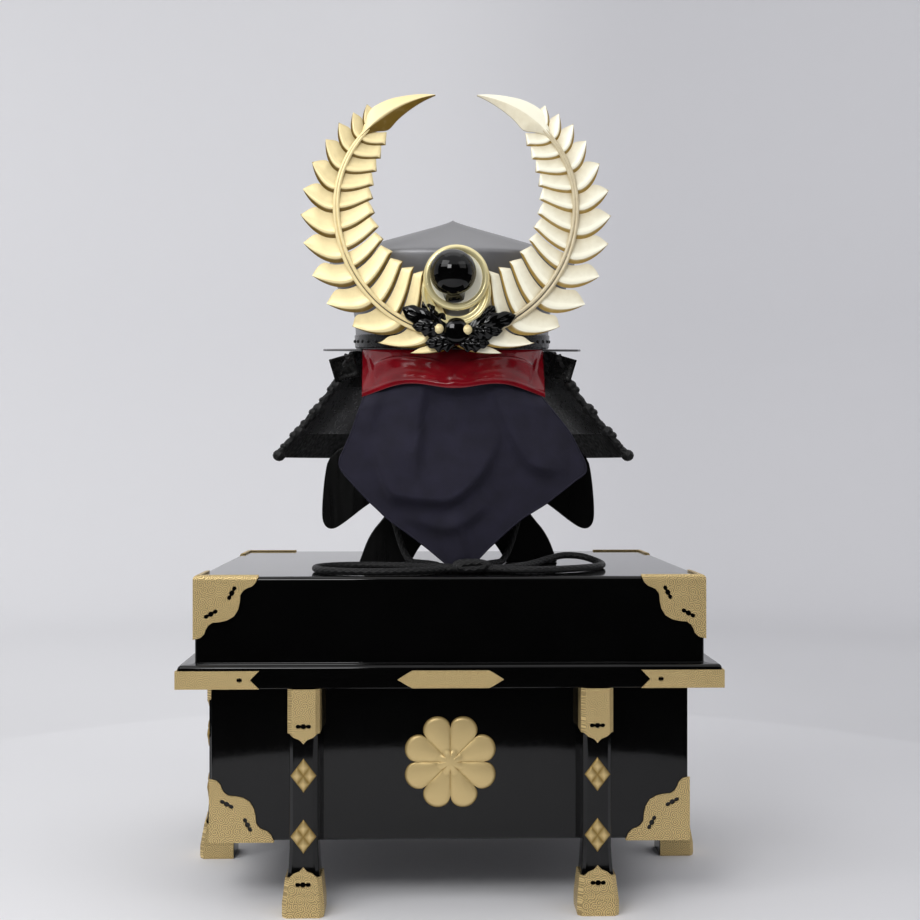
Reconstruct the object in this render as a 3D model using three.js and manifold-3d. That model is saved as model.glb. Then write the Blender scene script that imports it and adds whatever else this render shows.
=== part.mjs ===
// A samurai helmet with a fern crest, on its wooden stand, on a six-legged lacquered storage chest.
// Millimetres, +Z up, X to the right, Y to the back. The origin is on the floor under the chest's middle.
import * as THREE from "three";
import { mergeVertices } from "three/addons/utils/BufferGeometryUtils.js";
import Module from "manifold-3d";

const wasm = await Module();
wasm.setup();

// Driving dimensions of the chest
const seat = 0.3; // clearance between two pieces that touch
const chestClearHeight = 63;
const bodyHeight = 149;
const ledgeHeight = 22;
const lidHeight = 82;
const lidWidth = 484;
const lidDepth = 392;
const lidWall = 13;
const lidRoof = 12;
const lidEdge = 4;
const ledgeOverhang = 14.5;
const ledgeEdge = 4;
const bodyWall = 12;
const bodyFloor = 12;
const legSpacing = 276;
const legWidth = 27;
const legProud = 28;
const legChamfer = 4;
const footWidth = 36;
const footProud = 35;
const footHeight = 62;

// Driving dimensions of the chest's gilt fittings
const fittingThickness = 1.4;
const cornerReach = 60;
const cornerTurnOver = 5;
const slotLength = 15;
const slotWidth = 4.8;
const legCapHeight = 51;
const footCapHeight = 46;
const capTip = 7;
const ledgeCornerReach = 77;
const ledgePlateWidth = 100;
const rosetteRadius = 46;
const rosetteThickness = 3;

// Driving dimensions of the stand
const standX = 12;
const standY = 8;
const boardThickness = 20;
const standShoulder = 149;
const standFoot = 108;
const standHeadWidth = 90;
const standHalfDepth = 95;
const jointHeight = 180;

// Driving dimensions of the helmet
const helmetX = 5;
const helmetY = 6;
const rimAboveLid = 233;
const rimTilt = 0.086; // the rim drops this much towards the front, for each millimetre
const rimHalfWidth = 104;
const rimHalfDepth = 106;
const crownHeight = 136;
const crownHalfWidth = 133;
const crownFront = 124;
const crownBack = 132;
const bowlWall = 2.5;
const flangeHalfWidth = 140;
const flangeBackReach = 16;
const flangeThickness = 2.2;
const visorThickness = 2.2;
const visorDrop = 41;
const visorReach = 28;
const visorLipHalfWidth = 94;
const neckBottomAboveLid = 114;
const neckTopHalfWidth = 106;
const neckBottomHalfWidth = 183;
const neckBackExtra = 8;
const neckFront = 62;
const lameThickness = 2.5;
const lamePlay = 0.9;
const lameOverlap = 4;
const turnbackWidth = 25;
const turnbackHeight = 24;

// Driving dimensions of the crest
const crestX = 9.5;
const crestSetOut = 40; // from the rim's front to the back of the crest
const crestThickness = 4;
const fernHalfWidth = 121;
const fernRise = 108;
const fernDrop = 126.5;
const fernBottomAboveRim = 2;
const leaflets = 13;
const leafReach = 45;
const cupRadius = 32.5;
const cupOpening = 25.5;
const cupDepth = 12;
const cupAboveStem = 55;
const ballRadius = 23;
const ballRise = 6;
const neckRadius = 9;
const holderWidth = 44;
const holderHeight = 34;
const tongueWidth = 20;

// Driving dimensions of the kerchief and the chin cord
const clothThickness = 2;
const clothHalfWidth = 137;
const cordDiameter = 7;
const knotWidth = 40;
const knotDepth = 34;
const knotHeight = 13;

// Heights and planes that follow from them
const ledgeBottom = chestClearHeight + bodyHeight;
const ledgeTop = ledgeBottom + ledgeHeight;
const lidTop = ledgeTop + lidHeight;
const bodyWidth = lidWidth - 2 * (lidWall + seat);
const bodyDepth = lidDepth - 2 * (lidWall + seat);
const bodyTop = lidTop - lidRoof - seat;
const rimZ = lidTop + rimAboveLid;
const crestBackY = helmetY - rimHalfDepth - crestSetOut;
const crestFrontY = crestBackY - crestThickness;
const stemBottomZ = rimZ + fernBottomAboveRim;
const cupZ = stemBottomZ + cupAboveStem;

// Materials
const material = (color, roughness, metalness = 0) =>
  new THREE.MeshStandardMaterial({ color, roughness, metalness, flatShading: true });
const blackLacquer = material(0x0b0b0c, 0.18);
const satinIron = material(0x1d1e20, 0.45, 0.4);
const redLacquer = material(0x5e1310, 0.22);
const gilt = material(0xc79a45, 0.35, 0.9);
const paleGilt = material(0xd9b872, 0.35, 0.9);
const stainedWood = material(0x101011, 0.5);
const navyCloth = material(0x14162e, 0.9);
const blackCord = material(0x121214, 0.8);

const kabuto = new THREE.Group();

function add(name, geometry, finish, parent = kabuto) {
  const mesh = new THREE.Mesh(geometry, finish);
  mesh.name = name;
  parent.add(mesh);
  return mesh;
}

// A closed mesh from points and triangles: doubled points are merged and its faces are turned outwards.
function closedGeometry(points, faces) {
  const loose = new THREE.BufferGeometry();
  loose.setAttribute("position", new THREE.Float32BufferAttribute(points.flatMap((p) => p.toArray()), 3));
  loose.setIndex(faces.flat());
  const merged = mergeVertices(loose, 1e-3);
  const at = merged.getAttribute("position");
  const index = merged.index.array;
  const kept = [];
  let volume = 0;
  for (let i = 0; i < index.length; i += 3) {
    const corner = [index[i], index[i + 1], index[i + 2]];
    if (new Set(corner).size < 3) continue;
    const [a, b, c] = corner.map((k) => new THREE.Vector3().fromBufferAttribute(at, k));
    volume += a.dot(b.cross(c)) / 6;
    kept.push(corner);
  }
  merged.setIndex((volume < 0 ? kept.map(([a, b, c]) => [a, c, b]) : kept).flat());
  merged.computeVertexNormals();
  return merged;
}

// Skins a row of closed rings of equal length. Each end is closed across its ring, from one side to the other.
function loft(rings, capped = true) {
  const count = rings[0].length;
  const faces = [];
  for (let r = 0; r + 1 < rings.length; r++) {
    for (let k = 0; k < count; k++) {
      const a = r * count + k;
      const b = r * count + ((k + 1) % count);
      faces.push([a, b, b + count], [a, b + count, a + count]);
    }
  }
  if (capped) {
    const last = (rings.length - 1) * count;
    for (let k = 0; k + 1 < count / 2; k++) {
      const [a, b, c, d] = [k, k + 1, count - 2 - k, count - 1 - k];
      faces.push([a, d, c], [a, c, b]);
      faces.push([last + a, last + c, last + d], [last + a, last + b, last + c]);
    }
  }
  return closedGeometry(rings.flat(), faces);
}

function toSolid(geometry) {
  const bare = geometry.clone();
  bare.deleteAttribute("normal");
  bare.deleteAttribute("uv");
  const merged = mergeVertices(bare, 1e-3);
  const vertProperties = merged.getAttribute("position").array;
  return new wasm.Manifold(new wasm.Mesh({ numProp: 3, vertProperties, triVerts: merged.index.array }));
}

function fromSolid(solid) {
  const mesh = solid.getMesh();
  const geometry = new THREE.BufferGeometry();
  geometry.setAttribute("position", new THREE.BufferAttribute(mesh.vertProperties, 3));
  geometry.setIndex(new THREE.BufferAttribute(mesh.triVerts, 1));
  geometry.computeVertexNormals();
  return geometry;
}

// The planes that an outline is drawn on: each gives where the outline's two axes and its extrusion point.
const along = {
  front: [new THREE.Vector3(1, 0, 0), new THREE.Vector3(0, 0, 1), new THREE.Vector3(0, -1, 0)],
  side: [new THREE.Vector3(0, 1, 0), new THREE.Vector3(0, 0, 1), new THREE.Vector3(1, 0, 0)],
  top: [new THREE.Vector3(1, 0, 0), new THREE.Vector3(0, 1, 0), new THREE.Vector3(0, 0, 1)],
};

// A prism over an outline of [across, up] points, whose first face passes through the point `from`.
function prism(outline, depth, plane, from = [0, 0, 0]) {
  const shape = new THREE.Shape(outline.map(([a, b]) => new THREE.Vector2(a, b)));
  const geometry = new THREE.ExtrudeGeometry(shape, { depth, bevelEnabled: false });
  const turn = new THREE.Matrix4().makeBasis(...along[plane]).setPosition(...from);
  return geometry.applyMatrix4(turn);
}

const prismSolid = (...terms) => toSolid(prism(...terms));

function boxSolid(x, y, z) {
  const outline = [
    [x[0], y[0]],
    [x[1], y[0]],
    [x[1], y[1]],
    [x[0], y[1]],
  ];
  return prismSolid(outline, z[1] - z[0], "top", [0, 0, z[0]]);
}

const mirrored = (outline) => outline.map(([a, b]) => [-a, b]).reverse();

function tableValue(table, key, value, column) {
  const next = Math.max(1, table.findIndex((row) => row[key] >= value));
  const [low, high] = value > table.at(-1)[key] ? table.slice(-2) : [table[next - 1], table[next]];
  return THREE.MathUtils.mapLinear(value, low[key], high[key], low[column], high[column]);
}

// Chest: a lid with a moulded ledge slips over the walls of the body
function slabRing(width, depth, z) {
  const [x, y] = [width / 2, depth / 2];
  return [
    new THREE.Vector3(x, -y, z),
    new THREE.Vector3(x, y, z),
    new THREE.Vector3(-x, y, z),
    new THREE.Vector3(-x, -y, z),
  ];
}

// A slab whose upper edge is rounded off; grow moves each of its faces outwards.
function roundedSlab(width, depth, bottom, top, edge, grow = 0) {
  const rings = [slabRing(width + 2 * grow, depth + 2 * grow, bottom - grow)];
  for (let step = 0; step <= 3; step++) {
    const angle = (step / 3) * (Math.PI / 2);
    const inset = edge * (1 - Math.cos(angle)) - grow;
    rings.push(slabRing(width - 2 * inset, depth - 2 * inset, top + grow - edge * (1 - Math.sin(angle))));
  }
  return toSolid(loft(rings));
}

const lidShell = (grow = 0) => roundedSlab(lidWidth, lidDepth, ledgeTop, lidTop, lidEdge, grow);
const ledgeShell = (grow = 0) =>
  roundedSlab(
    lidWidth + 2 * ledgeOverhang,
    lidDepth + 2 * ledgeOverhang,
    ledgeBottom,
    ledgeTop,
    ledgeEdge,
    grow,
  );
const bodyShell = (grow = 0) =>
  boxSolid(
    [-bodyWidth / 2 - grow, bodyWidth / 2 + grow],
    [-bodyDepth / 2 - grow, bodyDepth / 2 + grow],
    [chestClearHeight - grow, bodyTop],
  );

function buildChest() {
  const lidHollow = boxSolid(
    [-bodyWidth / 2 - seat, bodyWidth / 2 + seat],
    [-bodyDepth / 2 - seat, bodyDepth / 2 + seat],
    [ledgeBottom - 1, lidTop - lidRoof],
  );
  const upper = roundedSlab(lidWidth, lidDepth, ledgeBottom, lidTop, lidEdge);
  add("chest_lid", fromSolid(upper.add(ledgeShell()).subtract(lidHollow)), blackLacquer);
  const bodyHollow = boxSolid(
    [-bodyWidth / 2 + bodyWall, bodyWidth / 2 - bodyWall],
    [-bodyDepth / 2 + bodyWall, bodyDepth / 2 - bodyWall],
    [chestClearHeight + bodyFloor, lidTop],
  );
  add("chest_body", fromSolid(bodyShell().subtract(bodyHollow)), blackLacquer);
}

// A leg's section widens from the shank to the foot: share of footHeight, and share of the way to the foot's size.
const legFlare = [
  { up: 0, spread: 0.9 },
  { up: 0.05, spread: 1 },
  { up: 0.22, spread: 0.98 },
  { up: 0.45, spread: 0.62 },
  { up: 0.7, spread: 0.24 },
  { up: 1, spread: 0 },
];

function legRing(width, proud, z, grow) {
  const half = width / 2 + grow;
  const face = -(proud + grow);
  const corner = legChamfer;
  return [
    [half, 0],
    [-half, 0],
    [-half, face + corner],
    [-half + corner, face],
    [half - corner, face],
    [half, face + corner],
  ].map(([x, y]) => new THREE.Vector3(x, y, z));
}

// A leg stands with its flat back on Y = 0 and faces -Y.
function legShell(grow = 0) {
  const rings = legFlare.map(({ up, spread }) =>
    legRing(
      THREE.MathUtils.lerp(legWidth, footWidth, spread),
      THREE.MathUtils.lerp(legProud, footProud, spread),
      up * footHeight,
      grow,
    ),
  );
  rings.push(legRing(legWidth, legProud, ledgeBottom - seat, grow));
  return loft(rings);
}

// The pointed end of a cap, as [share of the half width, share of the tip's height].
const ogee = [
  [1.2, -0.35],
  [0.72, -0.35],
  [0.5, 0.15],
  [0.2, 0.45],
  [0, 1],
];

function capOutline(halfWidth, length) {
  const end = ogee.map(([a, b]) => [a * halfWidth, length + b * capTip]);
  return [[-1.2 * halfWidth, -1], [1.2 * halfWidth, -1], ...end, ...mirrored(end).slice(1)];
}

// Half of one side of a three-lobed slot, as shares of its half length and half width.
const lobes = [
  [1, 0],
  [0.82, 0.8],
  [0.52, 0.8],
  [0.34, 0.42],
  [0.18, 1],
];

// A three-lobed slot about [across, up], turned by `angle`.
function lobedSlot(across, up, angle = 0) {
  const upper = [...lobes, ...lobes.map(([a, b]) => [-a, b]).reverse()];
  const lower = upper.slice(1, -1).map(([a, b]) => [a, -b]).reverse();
  return [...upper, ...lower].map(([a, b]) => {
    const x = (a * slotLength) / 2;
    const y = (b * slotWidth) / 2;
    return [across + x * Math.cos(angle) - y * Math.sin(angle), up + x * Math.sin(angle) + y * Math.cos(angle)];
  });
}

function legFitting(outline, slot) {
  const deep = footProud + 10;
  const sheet = toSolid(legShell(seat + fittingThickness)).subtract(toSolid(legShell(seat)));
  const cut = prismSolid(slot, deep, "front", [0, 0, 0]);
  return fromSolid(sheet.intersect(prismSolid(outline, deep, "front", [0, -0.5, 0])).subtract(cut));
}

function buildLegs() {
  const topEnd = ledgeBottom - seat;
  const capSlot = lobedSlot(0, topEnd - legCapHeight * 0.68);
  const topOutline = capOutline(footWidth / 2, legCapHeight - capTip).map(([a, b]) => [a, topEnd - b]).reverse();
  const topCap = legFitting(clipAbove(topOutline, topEnd), capSlot);
  const footOutline = clipBelow(capOutline(footWidth / 2, footCapHeight - capTip), 0);
  const footCap = legFitting(footOutline, lobedSlot(0, footCapHeight * 0.66));
  const leg = legShell();
  const [x, y] = [bodyWidth / 2 + seat, bodyDepth / 2 + seat];
  const places = {
    front_left: [-legSpacing / 2, -y, 0],
    front_right: [legSpacing / 2, -y, 0],
    side_right: [x, 0, 1],
    back_right: [legSpacing / 2, y, 2],
    back_left: [-legSpacing / 2, y, 2],
    side_left: [-x, 0, 3],
  };
  for (const [name, [px, py, quarter]] of Object.entries(places)) {
    const stance = new THREE.Group();
    stance.position.set(px, py, 0);
    stance.rotation.z = (quarter * Math.PI) / 2;
    kabuto.add(stance);
    add("leg_" + name, leg.clone(), blackLacquer, stance);
    add("leg_cap_" + name, topCap.clone(), gilt, stance);
    add("foot_cap_" + name, footCap.clone(), gilt, stance);
  }
}

const clipAbove = (outline, level) => outline.map(([a, b]) => [a, Math.min(b, level)]);
const clipBelow = (outline, level) => outline.map(([a, b]) => [a, Math.max(b, level)]);

// A corner fitting's stepped edge, as shares of its reach from the corner: [along one side, along the other].
const cornerSteps = [
  [1, 0],
  [0.96, 0.09],
  [0.9, 0.15],
  [0.83, 0.175],
  [0.77, 0.21],
  [0.72, 0.28],
  [0.71, 0.4],
  [0.685, 0.51],
  [0.62, 0.62],
];

function cornerOutline(reach) {
  const half = cornerSteps.map(([a, b]) => [a * reach, b * reach]);
  const rest = half
    .slice(0, -1)
    .map(([a, b]) => [b, a])
    .reverse();
  return [...half, ...rest];
}

// A sheet that hugs the corner at +X, -Y of a shell, inside an outline that is the same on the front and the side.
// `place` turns the outline's [from the corner, from its level] into [from the corner, height].
function cornerFitting(shell, halfWidth, halfDepth, place, outline, slots, turnOver) {
  const margin = 4;
  const deep = cornerReach + ledgeCornerReach;
  const stretched = outline.map(([a, b]) => [a <= 0 ? -margin : a, b]);
  const onFront = stretched.map(([a, b]) => [halfWidth - a, place(b)]);
  const onSide = stretched.map(([a, b]) => [-halfDepth + a, place(b)]);
  const sheet = shell(seat + fittingThickness).subtract(shell(seat));
  const strips = [
    [halfWidth + margin, -halfDepth - margin],
    [halfWidth + margin, -halfDepth + deep],
    [halfWidth - turnOver, -halfDepth + deep],
    [halfWidth - turnOver, -halfDepth + turnOver],
    [halfWidth - deep, -halfDepth + turnOver],
    [halfWidth - deep, -halfDepth - margin],
  ];
  let fitting = sheet
    .intersect(prismSolid(onFront, deep + margin, "front", [0, -halfDepth + deep, 0]))
    .intersect(prismSolid(onSide, deep + margin, "side", [halfWidth - deep, 0, 0]))
    .intersect(prismSolid(strips, lidTop + 2 * margin, "top", [0, 0, -margin]));
  for (const slot of slots) {
    const front = slot.map(([a, b]) => [halfWidth - a, place(b)]);
    const side = slot.map(([a, b]) => [-halfDepth + a, place(b)]);
    fitting = fitting
      .subtract(prismSolid(front, 2 * margin, "front", [0, -halfDepth + margin, 0]))
      .subtract(prismSolid(side, 2 * margin, "side", [halfWidth - margin, 0, 0]));
  }
  return fromSolid(fitting);
}

function placeCorners(name, geometry) {
  for (const [depthName, ySign] of [["front", 1], ["back", -1]]) {
    for (const [sideName, xSign] of [["right", 1], ["left", -1]]) {
      const corner = new THREE.Group();
      corner.scale.set(xSign, ySign, 1);
      kabuto.add(corner);
      add(name + "_" + depthName + "_" + sideName, geometry.clone(), gilt, corner);
    }
  }
}

function buildFittings() {
  const reach = cornerReach;
  const slots = [
    lobedSlot(reach * 0.585, reach * 0.255, -1.07),
    lobedSlot(reach * 0.255, reach * 0.585, -0.5),
  ];
  const outline = [[0, -4], [reach, -4], ...cornerOutline(reach)];
  const lidCorner = cornerFitting(
    lidShell, lidWidth / 2, lidDepth / 2, (b) => lidTop - b, outline, slots, cornerTurnOver,
  );
  placeCorners("lid_corner", lidCorner);
  const bodyCorner = cornerFitting(
    bodyShell, bodyWidth / 2, bodyDepth / 2, (b) => chestClearHeight + b, outline, slots, cornerTurnOver,
  );
  placeCorners("body_corner", bodyCorner);
  // The ledge's corner plates cover its upright face, and each ends in a swallow tail with a small eye.
  const faceHeight = ledgeHeight - ledgeEdge - 1;
  const notch = faceHeight / 2;
  const swallow = [
    [0, 0],
    [ledgeCornerReach, 0],
    [ledgeCornerReach - notch, notch],
    [ledgeCornerReach, faceHeight],
    [0, faceHeight],
  ];
  const eyeAt = ledgeCornerReach * 0.76;
  const eye = lobedSlot(eyeAt, notch).map(([a, b]) => [eyeAt + (a - eyeAt) * 0.35, b]);
  const [ledgeHalfWidth, ledgeHalfDepth] = [lidWidth / 2 + ledgeOverhang, lidDepth / 2 + ledgeOverhang];
  const ledgeCorner = cornerFitting(
    ledgeShell, ledgeHalfWidth, ledgeHalfDepth, (b) => ledgeBottom + b, swallow, [eye], ledgeOverhang - 4,
  );
  placeCorners("ledge_corner", ledgeCorner);

  const half = ledgePlateWidth / 2;
  const rim = ledgeEdge + 1;
  const right = [
    [half * 0.72, 0.5],
    [half * 0.82, ledgeHeight * 0.14],
    [half, (ledgeHeight - rim) / 2],
    [half * 0.82, (ledgeHeight - rim) * 0.84],
    [half * 0.72, ledgeHeight - rim],
  ];
  const plateOutline = [...right, ...mirrored(right)];
  for (const [name, turn] of [["front", 0], ["back", Math.PI]]) {
    const side = new THREE.Group();
    side.rotation.z = turn;
    kabuto.add(side);
    const plate = prism(plateOutline, fittingThickness, "front", [0, -ledgeHalfDepth - seat, ledgeBottom]);
    add("ledge_plate_" + name, plate, gilt, side);
  }
}

// A plain flower of eight petals on the chest's front.
function buildRosette() {
  const petals = 8;
  const points = [];
  const steps = petals * 6;
  for (let k = 0; k < steps; k++) {
    const angle = (k / steps) * 2 * Math.PI;
    const petal = Math.abs(Math.sin((petals / 2) * angle));
    const reach = rosetteRadius * (0.72 + 0.28 * Math.sqrt(petal));
    points.push([reach * Math.cos(angle), reach * Math.sin(angle)]);
  }
  const middle = chestClearHeight + bodyHeight / 2;
  const flower = prismSolid(points, rosetteThickness, "front", [0, -bodyDepth / 2 - seat, middle]);
  const eye = points.map(([a, b]) => [a * 0.26, b * 0.26]);
  const boss = prismSolid(eye, rosetteThickness + 2, "front", [0, -bodyDepth / 2 - seat, middle]);
  add("front_rosette", fromSolid(flower.add(boss)), gilt);
}

// Helmet bowl: rings from the rim to a ridge that runs front to back. swell goes from the rim's size to the crown's;
// wide and deep then close in on the ridge, as shares.
const bowlRings = [
  { up: 0, swell: 0, wide: 1, deep: 1 },
  { up: 0.257, swell: 0.07, wide: 1, deep: 1 },
  { up: 0.419, swell: 0.52, wide: 1, deep: 1 },
  { up: 0.581, swell: 0.93, wide: 1, deep: 1 },
  { up: 0.68, swell: 1, wide: 1, deep: 1 },
  { up: 0.735, swell: 1, wide: 0.865, deep: 0.93 },
  { up: 0.853, swell: 1, wide: 0.5, deep: 0.72 },
  { up: 1, swell: 1, wide: 0, deep: 0.45 },
];
const bowlSteps = 24;
const ovalPower = 0.8; // below 1 the oval is squarer than an ellipse
const power = (value) => Math.sign(value) * Math.abs(value) ** ovalPower;

// A point on an oval, by angle from +X through the back, as [x, y] from the helmet's middle.
function ovalPoint(angle, halfWidth, front, back) {
  const across = Math.abs(Math.cos(angle)) < 1e-9 ? 0 : power(Math.cos(angle)) * halfWidth;
  const sine = power(Math.sin(angle));
  return [across, sine * (sine < 0 ? front : back)];
}

const tiltAt = (y, share) => rimTilt * y * (1 - share);

function bowlPoint({ up, swell, wide, deep }, angle, inset) {
  const halfWidth = THREE.MathUtils.lerp(rimHalfWidth, crownHalfWidth, swell) * wide;
  const front = THREE.MathUtils.lerp(rimHalfDepth, crownFront, swell) * deep;
  const back = THREE.MathUtils.lerp(rimHalfDepth, crownBack, swell) * deep;
  const [x, y] = ovalPoint(angle, Math.max(0, halfWidth - inset), front - inset, back - inset);
  const sink = inset * 1.1 * Math.min(1, up / 0.6);
  return new THREE.Vector3(helmetX + x, helmetY + y, rimZ + up * crownHeight + tiltAt(y, up) - sink);
}

function bowlRing(row, inset) {
  return Array.from({ length: bowlSteps }, (_, k) => bowlPoint(row, ((k + 0.5) / bowlSteps) * 2 * Math.PI, inset));
}

function buildBowl() {
  const inner = bowlRings.map((row) => bowlRing(row, bowlWall)).reverse();
  const outer = bowlRings.map((row) => bowlRing(row, 0));
  add("helmet_bowl", loft([...inner, ...outer], false), satinIron);
}

// The bowl's front line at a height, from the same rings.
function bowlFrontY(z) {
  const line = bowlRings.map((row) => bowlPoint(row, -Math.PI / 2, 0)).map(({ y, z: height }) => ({ y, height }));
  return tableValue(line, "height", z, "y");
}

const visorHalfAngle = THREE.MathUtils.degToRad(68);

// A flat flange under the bowl's rim, from one temple round the back to the other.
function buildFlange() {
  const steps = 24;
  const start = -Math.PI / 2 + visorHalfAngle + 0.03;
  const rings = [];
  for (let k = 0; k <= steps; k++) {
    const angle = THREE.MathUtils.lerp(start, Math.PI - start, k / steps);
    const inner = ovalPoint(angle, rimHalfWidth - bowlWall, rimHalfDepth, rimHalfDepth - bowlWall);
    const outer = ovalPoint(angle, flangeHalfWidth, rimHalfDepth, rimHalfDepth + flangeBackReach);
    const edge = ([x, y], drop) =>
      new THREE.Vector3(helmetX + x, helmetY + y, rimZ + tiltAt(y, 0) - seat - drop);
    rings.push([edge(inner, 0), edge(outer, 0), edge(outer, flangeThickness), edge(inner, flangeThickness)]);
  }
  add("bowl_flange", loft(rings), satinIron);
}

// The visor runs from a root under the rim to an arched lip. across goes from -1 to 1, down from 0 to 1.
function visorPoint(across, down) {
  const angle = -Math.PI / 2 + across * visorHalfAngle;
  const [x, y] = ovalPoint(angle, rimHalfWidth - bowlWall, rimHalfDepth - bowlWall, rimHalfDepth);
  const root = new THREE.Vector3(x, y, rimZ + tiltAt(y, 0) - seat - visorThickness);
  const lipY = -rimHalfDepth - visorReach + 38 * (1 - Math.cos((across * Math.PI) / 2));
  const arch = 5.4 * Math.sin(Math.PI * across) ** 2 - 7.5 * across ** 4;
  const lipZ = rimZ + tiltAt(-rimHalfDepth, 0) - visorDrop + arch;
  const lip = new THREE.Vector3(visorLipHalfWidth * across, lipY, lipZ);
  const bow = 4 * Math.sin(Math.PI * down) * Math.cos((across * Math.PI) / 2);
  const point = root.lerp(lip, down);
  return new THREE.Vector3(helmetX + point.x, helmetY + point.y - bow, point.z + bow);
}

function buildVisor() {
  const [columns, rows] = [32, 4];
  const rings = [];
  for (let c = 0; c <= columns; c++) {
    const across = (2 * c) / columns - 1;
    const upper = [];
    for (let r = 0; r <= rows; r++) upper.push(visorPoint(across, r / rows));
    const lift = new THREE.Vector3(0, -0.45, 0.9).multiplyScalar(visorThickness);
    rings.push([...upper.map((p) => p.clone().add(lift)), ...upper.reverse()]);
  }
  add("visor", loft(rings), redLacquer);
}

// Neck guard: the widening line that its plates follow, as shares of its drop and of its flare.
const neckFlare = [
  { down: 0, out: 0 },
  { down: 0.345, out: 0.21 },
  { down: 0.56, out: 0.455 },
  { down: 0.776, out: 0.714 },
  { down: 1, out: 1 },
];
const flangeBottomZ = rimZ - seat - flangeThickness;
const neckBottomZ = lidTop + neckBottomAboveLid;

// A horseshoe in plan, open to the front: share goes from 0 at the right front end to 1 at the left.
function horseshoe(share, halfWidth) {
  const straight = 0.2;
  const turn = THREE.MathUtils.clamp((share - straight) / (1 - 2 * straight), 0, 1) * Math.PI;
  const ahead = Math.max(0, straight - share, share - 1 + straight) / straight;
  return [halfWidth * Math.cos(turn), (halfWidth + neckBackExtra) * Math.sin(turn) - neckFront * ahead];
}

function neckPoint(share, level, offset) {
  const flare = tableValue(neckFlare, "down", level, "out");
  const halfWidth = THREE.MathUtils.lerp(neckTopHalfWidth, neckBottomHalfWidth, flare) + offset;
  const [x, y] = horseshoe(share, halfWidth);
  const z = THREE.MathUtils.lerp(flangeBottomZ - seat + tiltAt(y, 0), neckBottomZ, level);
  return new THREE.Vector3(helmetX + x, helmetY + y, z);
}

function buildNeckGuard() {
  const steps = 24;
  const drop = flangeBottomZ - neckBottomZ;
  for (let lame = 1; lame < neckFlare.length; lame++) {
    const tuck = lame > 1 ? lameOverlap / drop : 0;
    const nest = lame > 1 ? lameThickness + lamePlay : 0;
    const top = neckFlare[lame - 1].down - tuck;
    const bottom = neckFlare[lame].down;
    const rings = [];
    for (let k = 0; k <= steps; k++) {
      const share = k / steps;
      rings.push([
        neckPoint(share, top, nest),
        neckPoint(share, top, nest + lameThickness),
        neckPoint(share, bottom, lameThickness),
        neckPoint(share, bottom, 0),
      ]);
    }
    add("neck_lame_" + lame, loft(rings), blackLacquer);
  }
}

// The turn-backs stand before the front ends of the first neck plate, leaning outwards.
function buildTurnbacks() {
  const lean = 0.3;
  const y = helmetY - neckFront - seat;
  for (const [name, sign] of [["right", 1], ["left", -1]]) {
    const top = rimZ + tiltAt(-neckFront, 0) - flangeThickness - 2;
    const inner = neckTopHalfWidth - 1;
    const quad = [
      [inner, top],
      [inner + turnbackWidth, top - turnbackWidth * lean],
      [inner + turnbackWidth - turnbackHeight * lean, top - turnbackHeight - turnbackWidth * lean],
      [inner - turnbackHeight * lean, top - turnbackHeight],
    ].map(([a, b]) => [helmetX + sign * a, b]);
    const outline = sign > 0 ? quad.reverse() : quad;
    add("turnback_" + name, prism(outline, lameThickness, "front", [0, y, 0]), blackLacquer);
  }
}

// Fern crest: the stem is half of an oval in the plane of the crest, by angle from the bottom round to the tip.
// Widths of the leafy part are shares of leafReach.
const fernWidths = [
  { degrees: 5, outer: 0.42, inner: 0.2 },
  { degrees: 24, outer: 0.72, inner: 0.95 },
  { degrees: 45, outer: 0.98, inner: 1.06 },
  { degrees: 60, outer: 0.96, inner: 0.98 },
  { degrees: 90, outer: 0.76, inner: 0.84 },
  { degrees: 110, outer: 0.66, inner: 0.68 },
  { degrees: 130, outer: 0.52, inner: 0.44 },
  { degrees: 150, outer: 0.2, inner: 0.2 },
  { degrees: 169, outer: 0.02, inner: 0.02 },
];
const bladeDegrees = 146;

function fernPoint(degrees, offset) {
  const angle = THREE.MathUtils.degToRad(degrees);
  const reach = degrees < 90 ? fernDrop : fernRise;
  const normal = new THREE.Vector2(Math.sin(angle) / fernHalfWidth, -Math.cos(angle) / reach).normalize();
  const z = stemBottomZ + fernDrop - reach * Math.cos(angle);
  return [fernHalfWidth * Math.sin(angle) + normal.x * offset, z + normal.y * offset];
}

function fernEdge(side, sign) {
  const first = fernWidths[0].degrees;
  const step = (bladeDegrees - first) / leaflets;
  const width = (degrees) => sign * leafReach * tableValue(fernWidths, "degrees", degrees, side);
  const points = [];
  for (let leaf = 0; leaf < leaflets; leaf++) {
    const start = first + leaf * step;
    const notch = leaf ? 0.5 : 0.9;
    points.push(fernPoint(start, notch * width(start)));
    points.push(fernPoint(start + 0.45 * step, 0.88 * width(start + 0.45 * step)));
    points.push(fernPoint(start + 1.05 * step, width(start + step)));
  }
  for (const degrees of [bladeDegrees + 2, 156, 163]) points.push(fernPoint(degrees, 0.8 * width(degrees)));
  return points;
}

function buildFern() {
  const tip = fernPoint(fernWidths.at(-1).degrees, 0);
  const outline = [...fernEdge("outer", 1), tip, ...fernEdge("inner", -1).reverse()];
  for (const [name, sign, finish] of [["right", 1, paleGilt], ["left", -1, gilt]]) {
    const side = sign > 0 ? outline : mirrored(outline);
    add("fern_" + name, prism(side, crestThickness, "front", [crestX, crestBackY, 0]), finish);
  }
}

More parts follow.
